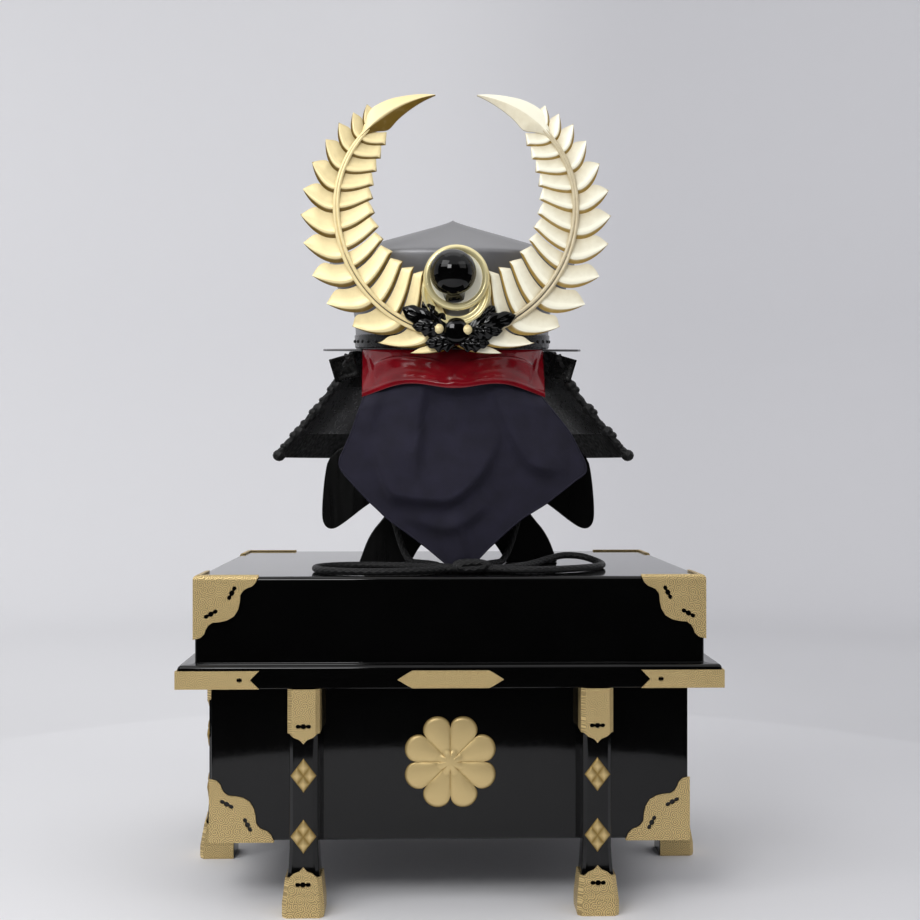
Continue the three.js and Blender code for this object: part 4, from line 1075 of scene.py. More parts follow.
    def build(self) -> None:
        """Makes the chest and dresses the fittings that stay as the CAD has them."""
        self.lid()
        self.body()
        for name, stance in self.stances().items():
            self.leg(name, stance)
        self.rosette()
        kept = ("lid_corner", "body_corner", "ledge_corner", "ledge_plate", "leg_cap", "foot_cap")
        dress_nodes([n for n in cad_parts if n.startswith(kept)], Dress.FITTING)


def dress_nodes(names: list[str], dress: Dress) -> None:
    """Gives CAD nodes that stay a finish, in their objects' own material slots."""
    for name in names:
        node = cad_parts[name]
        if not node.material_slots:
            node.data.materials.append(None)
        for place in node.material_slots:
            place.material = dress.value.material()
        log.info("%s: stays, in %s", name, dress.value.name)


# Stand


@dataclass
class Stand:
    """Two crossed boards that carry the helmet, halved into each other.

    An outline is the right half of a board, as [across, height above the lid], with the corners of its curved
    stretches cut off twice.
    """

    centre: tuple[float, float] = (12.0, 8.0)
    thickness: float = 20.0
    lid_top: float = 316.0
    joint: float = 180.0
    front_half: tuple[tuple[float, float], ...] = (
        (24, 31), (40, 21), (52, 0), (108, 0), (97, 30), (80, 50), (71, 64), (81, 73), (100, 62), (125, 42),
        (137, 35), (146, 39), (149, 52), (146, 92), (141, 116), (115, 132), (82, 140), (70, 158), (72, 205),
        (87, 245), (90, 290), (74, 326), (38, 346), (12, 353.5),
    )
    side_half: tuple[tuple[float, float], ...] = (
        (34, 30), (56, 0), (95, 0), (86, 60), (81, 120), (65, 165), (65, 215), (79, 255), (82, 300), (60, 338),
        (24, 357.4),
    )

    def softened(self, outline: np.ndarray) -> np.ndarray:
        """Cuts each corner off at a quarter of its edges, twice, and keeps the foot's two corners and the ends."""
        for _ in range(2):
            start, end = outline[:-1], outline[1:]
            cut = np.stack([0.75 * start + 0.25 * end, 0.25 * start + 0.75 * end], axis=1)
            flat = (start[:, 1] < 0.01) & (end[:, 1] < 0.01)
            cut[flat, 0], cut[flat, 1] = start[flat], end[flat]
            outline = np.concatenate([outline[:1], cut.reshape(-1, 2), outline[-1:]])
        return outline

    def board(self, half: tuple[tuple[float, float], ...], slot_up: bool) -> np.ndarray:
        """A board's whole outline, with its half of the joint cut from below or from above.

        Args:
            half: the right half's corners.
            slot_up: whether the slot is open to the foot.

        Returns:
            The outline, anticlockwise.
        """
        right = self.softened(np.asarray(half, float))
        gap = self.thickness / 2 + SEAT
        if slot_up:
            right = np.concatenate([[(gap, self.joint + SEAT), (gap, right[0, 1])], right, [(0, right[-1, 1])]])
        else:
            right = np.concatenate([[(0, right[0, 1])], right, [(gap, right[-1, 1]), (gap, self.joint)]])
        left = right[::-1] * [-1, 1]
        outline = np.concatenate([right, left])
        return outline[np.linalg.norm(outline - np.roll(outline, 1, axis=0), axis=1) > 1e-6]

    def build(self) -> None:
        """Makes the two boards."""
        x, y = self.centre
        for name, half, slot_up in (("front", self.front_half, True), ("side", self.side_half, False)):
            outline = self.board(half, slot_up)
            level = outline[:, 1] + self.lid_top + SEAT
            across, through_board = (x, y) if name == "front" else (y, x)
            faces = []
            for deep in (-self.thickness / 2, self.thickness / 2):
                sides = [across + outline[:, 0], np.full(len(outline), through_board + deep)]
                faces.append(np.stack([*(sides if name == "front" else sides[::-1]), level], axis=-1))
            mesh = bpy.data.meshes.new("stand_board_" + name)
            count = len(outline)
            quads = grid_faces(2, count, wrap_columns=True).tolist()
            mesh.from_pydata(mm(np.concatenate(faces)).tolist(), [],
                             [list(range(count)), list(range(2 * count - 1, count - 1, -1)), *quads])
            work = bmesh.new()
            work.from_mesh(mesh)
            bmesh.ops.recalc_face_normals(work, faces=work.faces)
            work.to_mesh(mesh)
            work.free()
            mesh.shade_smooth()
            mesh.set_sharp_from_angle(angle=math.radians(35))
            place_piece("stand_board_" + name, mesh, Dress.WOOD, ("stand_" + name + "_board",),
                        bevel_mm=1.4, crease=50)


# Helmet


@dataclass
class Helmet:
    """The helmet: a riveted bowl with a flange, a red visor with brows, a laced neck guard and two turn-backs.

    Each of the knots down a plate's front edge is [its share of the plate, its radius, how far it is shifted along
    +X, its height as a share of its radius].
    """

    x: float = 5.0
    y: float = 6.0
    rim_z: float = 549.0
    tilt: float = 0.086
    rim_half_width: float = 104.0
    rim_half_depth: float = 106.0
    crown_height: float = 136.0
    crown_half_width: float = 133.0
    crown_front: float = 124.0
    crown_back: float = 132.0
    wall: float = 2.5
    oval_power: float = 0.8
    flange_half_width: float = 140.0
    flange_back: float = 16.0
    flange_thickness: float = 2.2
    visor_thickness: float = 2.2
    visor_drop: float = 41.0
    visor_reach: float = 28.0
    visor_lip: float = 94.0
    visor_half_angle: float = math.radians(68)
    neck_bottom: float = 430.0
    neck_top_half: float = 106.0
    neck_bottom_half: float = 183.0
    neck_back_extra: float = 8.0
    neck_front: float = 62.0
    lame_thickness: float = 2.5
    lame_play: float = 0.9
    lame_overlap: float = 4.0
    turnback: tuple[float, float] = (25.0, 24.0)
    bowl_steps: int = 120
    rivets: int = 44
    rivet_radius: float = 1.9
    rivet_height: float = 1.5
    lace_pairs: int = 15
    knots: tuple[tuple[float, float, float, float], ...] = (
        (0.2, 4.8, 0.6, 0.9), (0.6, 4.3, -0.8, 0.8), (0.93, 6.2, 0.9, 1.0),
    )

    def oval(self, angle: Any, half_width: Any, front: Any, back: Any) -> tuple[np.ndarray, np.ndarray]:
        """An oval by angle from +X through the back: each axis is its sine or cosine to the oval's power."""
        cos, sin = np.cos(angle), np.sin(angle)
        across = np.sign(cos) * np.abs(cos) ** self.oval_power * half_width
        along = np.sign(sin) * np.abs(sin) ** self.oval_power
        return across, along * np.where(along < 0, front, back)

    def tilt_at(self, y: Any, share: Any = 0.0) -> np.ndarray:
        """How far the rim's tilt lifts a point at that depth; it fades out towards the crown."""
        return self.tilt * np.asarray(y) * (1 - np.asarray(share))

    def bowl_point(self, up: np.ndarray, angle: np.ndarray, inset: float) -> np.ndarray:
        """A point of the bowl, by its share of the crown's height and its angle.

        The table gives how far the size has gone from the rim's to the crown's, and how much of its width and depth
        is left where it closes in on the ridge.
        """
        table = [(0, 0, 1, 1), (0.257, 0.07, 1, 1), (0.419, 0.52, 1, 1), (0.581, 0.93, 1, 1), (0.68, 1, 1, 1),
                 (0.735, 1, 0.865, 0.93), (0.853, 1, 0.5, 0.72), (1, 1, 0, 0.45)]
        swell, wide, deep = np.moveaxis(through(table, up), -1, 0)
        half = (self.rim_half_width + swell * (self.crown_half_width - self.rim_half_width)) * wide - inset
        front = (self.rim_half_depth + swell * (self.crown_front - self.rim_half_depth)) * deep - inset
        back = (self.rim_half_depth + swell * (self.crown_back - self.rim_half_depth)) * deep - inset
        x, y = self.oval(angle, np.maximum(half, 0), front, back)
        sink = inset * 1.1 * np.minimum(1, up / 0.6)
        settled = 5.0 * np.clip((up - 0.68) / 0.32, 0, 1) ** 1.5
        z = self.rim_z + up * self.crown_height + self.tilt_at(y, up) - sink - settled
        return np.stack(np.broadcast_arrays(self.x + x, self.y + y, z), axis=-1)

    def bowl(self) -> None:
        """Makes the bowl's shell with its low centre ridge, and the rim's riveted band."""
        up = np.concatenate([np.linspace(0, 0.6, 16), np.linspace(0.63, 0.78, 9), np.linspace(0.82, 0.97, 6), [1.0]])
        angle = (np.arange(self.bowl_steps) + 0.5) / self.bowl_steps * TURN
        outer = self.bowl_point(up[:, None], angle[None], 0.0)
        inner = self.bowl_point(up[:, None], angle[None], self.wall)
        work = Patchwork()
        work.grid(np.concatenate([inner[::-1], outer]), rings=True)
        work.build("bowl_shell", Dress.BOWL, "bowl_iron", ("helmet_bowl",), crease=50)

        band = Patchwork()
        level = np.array([0.003, 0.012, 0.1, 0.109])
        out = np.array([0.1, 1.3, 1.3, 0.1])
        ring = [self.bowl_point(np.full(self.bowl_steps, u), angle, -o) for u, o in zip(level, out)]
        base = [self.bowl_point(np.full(self.bowl_steps, u), angle, 0.6) for u in (0.109, 0.003)]
        section = np.stack(ring + base, axis=1)
        band.grid(section, rings=True, loop=True)
        around = (np.arange(self.rivets) + 0.5) / self.rivets * TURN
        ball_u, ball_v = np.meshgrid(np.linspace(0, math.pi / 2, 5), np.arange(10) / 10 * TURN, indexing="ij")
        for a in around.tolist():
            at = self.bowl_point(np.array([0.056]), np.array([a]), -1.2)[0]
            ahead = np.array([math.cos(a), math.sin(a), 0.0])
            side = np.array([-math.sin(a), math.cos(a), 0.0])
            ring = np.cos(ball_v)[..., None] * side + np.sin(ball_v)[..., None] * np.array([0.0, 0.0, 1.0])
            dome = at + self.rivet_radius * (np.sin(ball_u)[..., None] * ring)
            dome = dome + self.rivet_height * np.cos(ball_u)[..., None] * ahead
            foot = dome[-1:] - 0.8 * ahead
            band.grid(np.concatenate([dome, foot, np.broadcast_to(foot.mean(axis=(0, 1)), foot.shape)]), rings=True)
        band.build("bowl_rim_band", Dress.PLATE, "plate_lacquer", crease=40)
        ridge_y = np.linspace(-0.43 * self.crown_front, 0.43 * self.crown_back, 30)
        top = self.rim_z + self.crown_height
        line = np.stack([np.full(30, self.x), self.y + ridge_y, np.full(30, top - 5.6)], axis=-1)
        ridge = Patchwork()
        points, _ = tube(line, np.concatenate([[0.8], np.full(28, 2.0), [0.8]]), 10, squash=0.55, up=(0, 0, 1))
        ridge.grid(points, rings=True, capped=True)
        ridge.build("bowl_ridge", Dress.BOWL, "bowl_iron", crease=60)

    def flange(self) -> None:
        """Makes the flat flange from one temple round the back to the other."""
        start = -math.pi / 2 + self.visor_half_angle + 0.03
        angle = np.linspace(start, math.pi - start, 90)
        depth = self.rim_half_depth
        ix, iy = self.oval(angle, self.rim_half_width - self.wall, depth, depth - self.wall)
        ox, oy = self.oval(angle, self.flange_half_width, depth, depth + self.flange_back)
        rings = []
        thick = self.flange_thickness
        for px, py, drop in [(ix, iy, 0), (ox, oy, 0), (ox, oy, thick), (ix, iy, thick)]:
            rings.append(np.stack([self.x + px, self.y + py, self.rim_z + self.tilt_at(py) - SEAT - drop], axis=-1))
        work = Patchwork()
        work.grid(np.stack(rings, axis=1), rings=True, capped=True)
        work.build("bowl_brim", Dress.BOWL, "bowl_iron", ("bowl_flange",), bevel_mm=0.7)

    def visor_point(self, across: np.ndarray, down: np.ndarray) -> np.ndarray:
        """A point of the visor's underside, from its root under the rim to its arched lip.

        across goes from -1 to 1 and down from 0 to 1, on a straight line from root to lip that bows out by 4 mm.
        """
        angle = -math.pi / 2 + across * self.visor_half_angle
        x, y = self.oval(angle, self.rim_half_width - self.wall, self.rim_half_depth - self.wall, self.rim_half_depth)
        root = np.stack([x, y, self.rim_z + self.tilt_at(y) - SEAT - self.visor_thickness], axis=-1)
        lip_y = -self.rim_half_depth - self.visor_reach + 38 * (1 - np.cos(across * math.pi / 2))
        arch = 5.4 * np.sin(math.pi * across) ** 2 - 7.5 * across**4
        lip_z = self.rim_z + self.tilt_at(-self.rim_half_depth) - self.visor_drop + arch
        lip = np.stack([self.visor_lip * across, lip_y, lip_z], axis=-1)
        bow = 4 * np.sin(math.pi * down) * np.cos(across * math.pi / 2)
        point = root + (lip - root) * down[..., None]
        return point + np.stack([self.x + 0 * bow, self.y - bow, bow], axis=-1)

    def visor(self) -> None:
        """Makes the visor with its embossed brows.

        Each brow is a ridge along a curve that rises from the middle and falls to the temple; a crease runs down at
        the temple, and the lip is rolled.
        """
        across, down = np.meshgrid(np.linspace(-1, 1, 141), np.linspace(0, 1, 31), indexing="ij")
        under = self.visor_point(across, down)
        side = np.abs(across)
        line = 0.42 + 0.75 * (side - 0.46) ** 2
        fade = 1 / (1 + np.exp(-(side - 0.1) / 0.025)) * (1 / (1 + np.exp((side - 0.84) / 0.03)))
        brow = 3.0 * fade * bell(down - line, 0.085)
        hollow = -1.3 * fade * bell(down - line - 0.22, 0.1)
        crease = -1.5 * bell(side - 0.88 + 0.06 * down, 0.025) * np.sin(math.pi * down)
        ridge = 1.6 * bell(across, 0.045) * np.clip(down * 3, 0, 1)
        roll = 1.5 * bell(down - 0.975, 0.035)
        carved = np.maximum(brow + hollow + crease + ridge + roll, -1.6)
        rise = self.visor_thickness + carved * np.clip(down * 6, 0, 1)
        upper = under + rise[..., None] * np.array([0.0, -0.45, 0.9])
        work = Patchwork()
        work.grid(slab(upper, under), rings=True, capped=True)
        work.build("visor_brow", Dress.VISOR, "red_lacquer", ("visor",), crease=60)

    def neck_point(self, share: Any, level: Any, offset: Any) -> np.ndarray:
        """A point of the neck guard: share goes round the horseshoe, level down it, and offset outwards."""
        table = [(0, 0), (0.345, 0.21), (0.56, 0.455), (0.776, 0.714), (1, 1)]
        share, level = np.broadcast_arrays(np.asarray(share, float), np.asarray(level, float))
        flare = np.interp(level, [r[0] for r in table], [r[1] for r in table])
        half = self.neck_top_half + flare * (self.neck_bottom_half - self.neck_top_half) + offset
        straight = 0.2
        turn = np.clip((share - straight) / (1 - 2 * straight), 0, 1) * math.pi
        ahead = np.maximum(0, np.maximum(straight - share, share - 1 + straight)) / straight
        x = half * np.cos(turn)
        y = (half + self.neck_back_extra) * np.sin(turn) - self.neck_front * ahead
        top = self.rim_z - SEAT - self.flange_thickness - SEAT + self.tilt_at(y)
        z = top + level * (self.neck_bottom - top)
        return np.stack(np.broadcast_arrays(self.x + x, self.y + y, z), axis=-1)

    def lame_levels(self, lame: int) -> tuple[float, float, float]:
        """The levels of a plate's top and bottom, and how far its top stands out over the plate above."""
        downs = (0, 0.345, 0.56, 0.776, 1)
        drop = self.rim_z - SEAT - self.flange_thickness - self.neck_bottom
        tuck = self.lame_overlap / drop if lame > 1 else 0.0
        return downs[lame - 1] - tuck, downs[lame], (self.lame_thickness + self.lame_play if lame > 1 else 0.0)

    def neck_guard(self) -> None:
        """Makes the four plates, each with a rolled lower edge, and the silk that laces them."""
        share = np.concatenate([np.linspace(0, 0.2, 14), np.linspace(0.21, 0.79, 76), np.linspace(0.8, 1, 14)])
        for lame in (1, 2, 3, 4):
            top, bottom, nest = self.lame_levels(lame)
            t = np.linspace(0, 1, 9)
            level = top + t * (bottom - top)
            lean = nest * (1 - t)
            swell = 0.8 * bell(t - 0.94, 0.06) - 0.5 * bell(t - 0.5, 0.3)
            outer = self.neck_point(share[:, None], level[None], (lean + self.lame_thickness + swell)[None])
            inner = self.neck_point(share[:, None], level[None], lean[None])
            work = Patchwork()
            work.grid(slab(outer, inner), rings=True, capped=True)
            # The upper three plates wear black lacquer painted grey for the floor it reflects; the lowest stays dull
            # black.
            dress = Dress.NECK_PAINTED_REFLECTION if lame < 4 else Dress.PLATE_LOW
            work.build("neck_plate_%d" % lame, dress, "plate_lacquer", ("neck_lame_%d" % lame,), bevel_mm=0.5)
        self.lacing()

    def lacing(self) -> None:
        """Makes the lacing: pairs of cords over each plate's joint, and a wrapped cord with knots down both edges."""
        work = Patchwork()
        for lame in (1, 2, 3, 4):
            top, bottom, nest = self.lame_levels(lame)
            span = 0.2 if lame == 1 else 0.12
            for k in range(self.lace_pairs):
                middle = 0.03 + 0.94 * k / (self.lace_pairs - 1)
                for shift in (-0.006, 0.006):
                    t = np.linspace(0, 1, 7)
                    low = bottom - 0.02 if lame == 4 else bottom + 0.035
                    level = low - span * (1 - t) if lame == 4 else bottom - 0.07 + 0.105 * t
                    over = 3.4 * t if lame < 4 else 0 * t
                    lift = self.lame_thickness + 0.5 + 2.2 * np.sin(math.pi * t) ** 0.5 + over
                    line = self.neck_point(middle + shift + 0 * t, level, lift)
                    points, uv = tube(line, np.array([0.6, 1.7, 1.9, 1.9, 1.9, 1.7, 0.6]), 8)
                    work.grid(points, rings=True, capped=True, uv=uv)
            for end in (0.0, 1.0):
                for t, size, shift, tall in self.knots:
                    level = top + t * (bottom - top)
                    at = self.neck_point(end, level, nest * (1 - t) + 1.5)
                    angle = np.linspace(0, math.pi, 7)
                    turn = np.arange(10) / 10 * TURN
                    dome = np.stack([
                        at[0] + size * 1.1 * np.sin(angle)[:, None] * np.cos(turn) + shift,
                        at[1] - 0.4 + size * 0.8 * np.sin(angle)[:, None] * np.sin(turn),
                        at[2] + size * tall * np.cos(angle)[:, None] + 0 * turn,
                    ], axis=-1)
                    uv = np.stack(np.broadcast_arrays(turn[None] * 0.004, angle[:, None] * 0.004), axis=-1)
                    work.grid(dome, rings=True, uv=uv)
        for end in (0.0, 1.0):
            level = np.linspace(0.03, 1.0, 60)
            line = self.neck_point(end, level, 2.4)
            points, uv = tube(line, 3.3 + 0.8 * np.sin(level * 38) ** 2, 10)
            work.grid(points, rings=True, capped=True, uv=uv)
        work.build("neck_lacing", Dress.CORD, "cord", crease=60)

    def turnbacks(self) -> None:
        """Makes the two turned-back plates at the temples: a leaning quad that curls forwards at its outer edge."""
        lean, (width, height) = 0.3, self.turnback
        top = self.rim_z + self.tilt_at(-self.neck_front) - self.flange_thickness - 2
        inner = self.neck_top_half - 1
        u, v = np.meshgrid(np.linspace(0, 1, 13), np.linspace(0, 1, 13), indexing="ij")
        for name, sign in (("right", 1), ("left", -1)):
            x = self.x + sign * (inner + width * u - height * lean * v)
            z = top - width * lean * u - height * v
            edge = np.maximum(np.abs(2 * u - 1), np.abs(2 * v - 1))
            curl = 2.0 * u**2 + 0.8 * bell(edge - 0.9, 0.08)
            y = self.y - self.neck_front - SEAT - curl
            front = np.stack([x, y - self.lame_thickness, z], axis=-1)
            back = np.stack([x, y + 0.0 * u, z], axis=-1)
            work = Patchwork()
            work.grid(slab(front, back), rings=True, capped=True)
            work.build("turned_plate_" + name, Dress.PLATE, "turnback_lacquer", ("turnback_" + name,), bevel_mm=0.4)

    def build(self) -> None:
        """Makes the helmet's pieces."""
        self.bowl()
        self.flange()
        self.visor()
        self.neck_guard()
        self.turnbacks()


# Crest


@dataclass
class FernCrest:
    """The crest: two fern fronds curved like horns, a deep ring that holds a black ball, and carved black leaves."""

    x: float = 6.5
    back_y: float = -140.0
    thickness: float = 4.0
    stem_bottom: float = 551.0
    half_width: float = 118.5
    rise: float = 112.0
    drop: float = 126.5
    blade_from: float = 128.0
    tip: float = 170.0
    cup_radius: float = 32.5
    cup_opening: float = 25.5
    cup_depth: float = 12.0
    cup_above: float = 55.0
    ball_radius: float = 22.8
    curl: float = 2.1
    slit: float = 0.93
    slit_below: float = 62.0
    blade_half: tuple[tuple[float, float, float], ...] = (
        (128, 0.5, 0.5), (134, 7.0, 6.0), (141, 13.0, 13.5), (148, 11.5, 10.5), (156, 7.5, 7.0), (164, 3.6, 3.2),
        (170, 0.4, 0.4),
    )
    outer: tuple[tuple[float, float, float], ...] = (
        (-3, 18, 26), (9, 31, 31), (24, 42, 34), (41, 54, 39), (54, 65, 38), (65, 77, 36.5), (76, 87, 35.5),
        (87, 96.5, 34), (96.5, 107.5, 31), (107, 118, 28), (117, 126.5, 26.5), (125, 133.5, 22.5), (132, 140, 19.5),
        (138, 146.5, 16.5),
    )
    inner: tuple[tuple[float, float, float], ...] = (
        (3, 12, 34), (12, 22, 46), (20.5, 31, 54), (29.5, 39.5, 51), (38.5, 48.5, 47), (49, 58.5, 44), (60, 68.5, 41),
        (69, 77, 40), (78, 86, 38), (87.5, 96, 36), (97.5, 106, 34), (107.5, 116, 31.5), (117, 125, 28),
        (125.5, 133.5, 23), (133.5, 141, 16),
    )

    @property
    def front_y(self) -> float:
        """The front of the crest's sheet."""
        return self.back_y - self.thickness

    @property
    def cup_z(self) -> float:
        """The height of the ring's middle."""
        return self.stem_bottom + self.cup_above

    def frond_point(self, degrees: np.ndarray, offset: np.ndarray) -> tuple[np.ndarray, np.ndarray]:
        """A point beside the stem: half an oval by angle from the bottom, moved along its outward normal."""
        angle = np.radians(degrees)
        reach = np.where(degrees < 90, self.drop, self.rise)
        nx, nz = np.sin(angle) / self.half_width, -np.cos(angle) / reach
        size = np.hypot(nx, nz)
        z = self.stem_bottom + self.drop - reach * np.cos(angle)
        return self.half_width * np.sin(angle) + nx / size * offset, z + nz / size * offset

    def leaflet(
        self, work: Patchwork, low: tuple[float, ...], high: tuple[float, ...], side: int, hand: int
    ) -> None:
        """Adds one leaflet: a crescent that starts at the stem and sweeps up to its point.

        Its lower edge runs from the stem out to the point, turning up ever faster. Its upper edge follows the next
        leaflet's lower edge, and leaves it to meet the point. A bead runs along the lower edge, above a steep fall,
        and the blade sinks from the bead to the upper edge, which lies under the next leaflet.

        Args:
            work: where it goes.
            low: the angle at the stem, the angle at the point and the point's distance from the stem.
            high: the same for the next leaflet up.
            side: 1 on the frond's outer side, -1 on its inner side.
            hand: 1 for the right frond, -1 for the left.
        """
        rows = np.array([0, 0.05, 0.1, 0.14, 0.18, 0.24, 0.32, 0.45, 0.65, 0.85, 1.0])
        s, t = np.meshgrid(np.linspace(0, 1, 19), rows, indexing="ij")
        along, leave, bend = (0.95, 0.55, 1.7) if side > 0 else (0.985, 0.88, 1.3)
        lift = np.clip((s - leave) / (1 - leave), 0, 1) ** bend
        edges = [
            (row[0] + (row[1] - row[0]) * f**self.curl, 1.0 + (row[2] - 1.0) * f)
            for row, f in ((low, s), (high, along * s))
        ]
        cover = t * (self.slit if low[0] < self.slit_below else 1.0)
        angle, reach = (lower + cover * (1 - lift) * (upper - lower) for lower, upper in zip(*edges))
        px, pz = self.frond_point(angle, side * reach)
        wall = np.clip(t / 0.18, 0, 1)
        bead = bell(t - 0.27, 0.09)
        fade = np.clip((1 - s) / 0.08, 0, 1) ** 0.5
        rise = 0.4 + fade * wall * (2.6 * (1 - t) ** 0.9 + 0.9 * bead) * (1 - 0.3 * s)
        # Painted shade on the lower wall, under the next leaflet and at the stem; a painted highlight on the bead and
        # towards the point.
        root = 0.25 * bell(s, 0.1)
        painted_light = np.clip(wall**6 * (0.72 + 0.34 * bead - 0.34 * t**2 + 0.14 * s) - root, 0, 1)
        front_y, back_y = self.back_y - 1.0 - rise, self.back_y - 0.4
        work.sheet((self.x + hand * px, pz), front_y, back_y, painted_light)

    def frond(self, name: str, hand: int, dress: Dress, slot: str) -> None:
        """Makes one frond: its leaflets, its double midrib and the smooth ridged blade at its tip."""
        work = Patchwork()
        for side, rows in ((1, self.outer), (-1, self.inner)):
            for low, high in zip(rows, rows[1:]):
                self.leaflet(work, low, high, side, hand)
        degrees = np.linspace(3, 150, 90)
        for side in (-1, 1):
            spread = side * np.interp(degrees, [30, 65, 95, 150], [2.4, 2.1, 1.3, 0.7])
            px, pz = self.frond_point(degrees, spread)
            line = np.stack([self.x + hand * px, np.full(90, self.back_y - 4.2), pz], axis=-1)
            points, _ = tube(line, 1.9 * np.clip((160 - degrees) / 40, 0.35, 1), 10)
            # The midribs take a fixed tone between the two colours: 0.75 on the left frond, 0.35 on the right.
            work.grid(points, rings=True, capped=True, painted_light=0.75 if hand < 0 else 0.35)
        s, t = np.meshgrid(np.linspace(0, 1, 40), np.linspace(-1, 1, 13), indexing="ij")
        angle = self.blade_from + (self.tip - self.blade_from) * s
        half = through(self.blade_half, angle)
        px, pz = self.frond_point(angle, np.where(t < 0, half[..., 1], half[..., 0]) * t)
        ridge = 1.4 + 3.4 * (1 - np.abs(t) ** 1.3) * (1 - 0.7 * s)
        # Painted shade over the blade's inner half, down to full shade on the left frond.
        painted_light = np.clip(0.5 + 5 * t, 0.0 if hand < 0 else 0.55, 1) + 0 * s
        front_y, back_y = self.back_y - 1.4 - ridge, self.back_y - 0.5
        work.sheet((self.x + hand * px, pz), front_y, back_y, painted_light)
        work.build(name, dress, slot, ("fern_" + ("right" if hand > 0 else "left"),), crease=45)

    def ring(self) -> None:
        """Makes the deep ring, the second rim that shows below it, and the dish inside, painted pale as if lit."""
        work = Patchwork()
        y = self.front_y - SEAT
        outer, inner, deep = self.cup_radius, self.cup_opening, self.cup_depth
        middle = (outer + inner) / 2
        profile = [(inner + 1.0, 0.0), (outer - 2.5, 0.0), (outer - 0.8, 2.0), (outer - 0.4, deep * 0.5),
                   (outer, deep - 3.6), (outer - 1.2, deep - 0.9), (middle, deep + 0.3), (inner + 1.0, deep - 1.0),
                   (inner - 0.1, deep - 3.6), (inner + 0.2, deep * 0.5), (inner + 0.4, 2.0), (inner + 1.0, 0.0)]
        work.grid(revolve(profile, (self.x, y, self.cup_z), 96, 72)[:-1], rings=True, loop=True, painted_light=1.0)
        low = [(25.0, 0.4), (31.5, 0.3), (33.6, 1.6), (34.3, 4.0), (33.4, 6.0), (31.4, 6.4), (29.6, 5.0), (25.0, 4.4),
               (25.0, 0.4)]
        work.grid(revolve(low, (self.x, y, self.cup_z - 13.0), 96, 48)[:-1], rings=True, loop=True, painted_light=1.0)
        floor = [(0.001, 0.1), (25.6, 0.1), (25.6, 9.6), (22.0, 8.8), (12.0, 7.4), (0.001, 7.0)]
        work.build("crest_ring", Dress.CUP, "fern_gilt", ("crest_cup",), crease=50)
        # The dish wears the paler gilt copy, with light painted in where the ring shades it.
        dish = Patchwork()
        dish.grid(revolve(floor, (self.x, y, self.cup_z), 64, 30), rings=True)
        dish.build("crest_dish", Dress.FERN_PAINTED_LIT, "fern_gilt", crease=50)

    def ball(self) -> None:
        """Makes the polished ball on its neck: one profile of radius and distance turned about the neck's axis."""
        y = self.front_y - SEAT
        centre = np.array([self.x - 3.6, y - self.cup_depth - self.ball_radius * 0.45, self.cup_z + 3.0])
        foot = np.array([self.x - 2.0, y - 5.0, self.cup_z - 19.0])
        axis = foot - centre
        length = np.linalg.norm(axis)
        axis /= length
        side = np.cross(axis, [0, 0, 1.0])
        side /= np.linalg.norm(side)
        third = np.cross(axis, side)
        angle = np.linspace(0, math.pi * 0.7, 36)
        radius = np.concatenate([self.ball_radius * np.sin(angle), [15.8, 13.6, 11.8, 10.8, 10.4, 10.6, 0.001]])
        neck = [15.6, 18.2, 21.0, 23.5, length - 1, length, length]
        reach = np.concatenate([-self.ball_radius * np.cos(angle), neck])
        turn = circle(64)
        points = centre + reach[:, None, None] * axis + radius[:, None, None] * (
            np.cos(turn)[None, :, None] * side + np.sin(turn)[None, :, None] * third)
        work = Patchwork()
        work.grid(points, rings=True)
        work.build("crest_pearl", Dress.CREST_BLACK, "crest_black", ("crest_ball",), crease=80)

    def carved_leaf(
        self, work: Patchwork, root: tuple[float, float], tip: tuple[float, float], full: float, lift: float
    ) -> None:
        """Adds a carved leaf: lobed edges, a sunk midrib and slanting veins on a crowned, upturned blade.

        Args:
            work: where it goes.
            root: its start, from the stem's bottom.
            tip: its end.
            full: half its width.
            lift: how far its middle stands out.
        """
        s, t = np.meshgrid(np.linspace(0, 1, 33), np.linspace(-1, 1, 15), indexing="ij")
        root, tip = np.asarray(root, float), np.asarray(tip, float)
        ahead = tip - root
        length = np.linalg.norm(ahead)
        square = np.array([-ahead[1], ahead[0]]) / length
        lobe = 1 + 0.16 * np.cos(TURN * 3.5 * s) * np.abs(t) ** 2
        width = full * np.sin(math.pi * s**0.8) ** 0.75 * lobe
        flat = root + ahead * s[..., None] + square * (width * t)[..., None]
        vein = np.cos(TURN * (4.5 * s - 1.3 * np.abs(t)))
        body = np.sin(math.pi * s**0.8) ** 0.5 * (1 - 0.45 * np.abs(t) ** 2)
        rise = 1.0 + lift * body + 0.55 * vein * body - 1.3 * bell(t, 0.09) * body + 2.0 * s**3
        x, z = self.x + flat[..., 0], self.stem_bottom + flat[..., 1]
        base = self.front_y - SEAT
        work.grid(slab(np.stack([x, base - rise, z], axis=-1), np.stack([x, base - 0.3 * rise + 0.3, z], axis=-1)),
                  rings=True, capped=True)

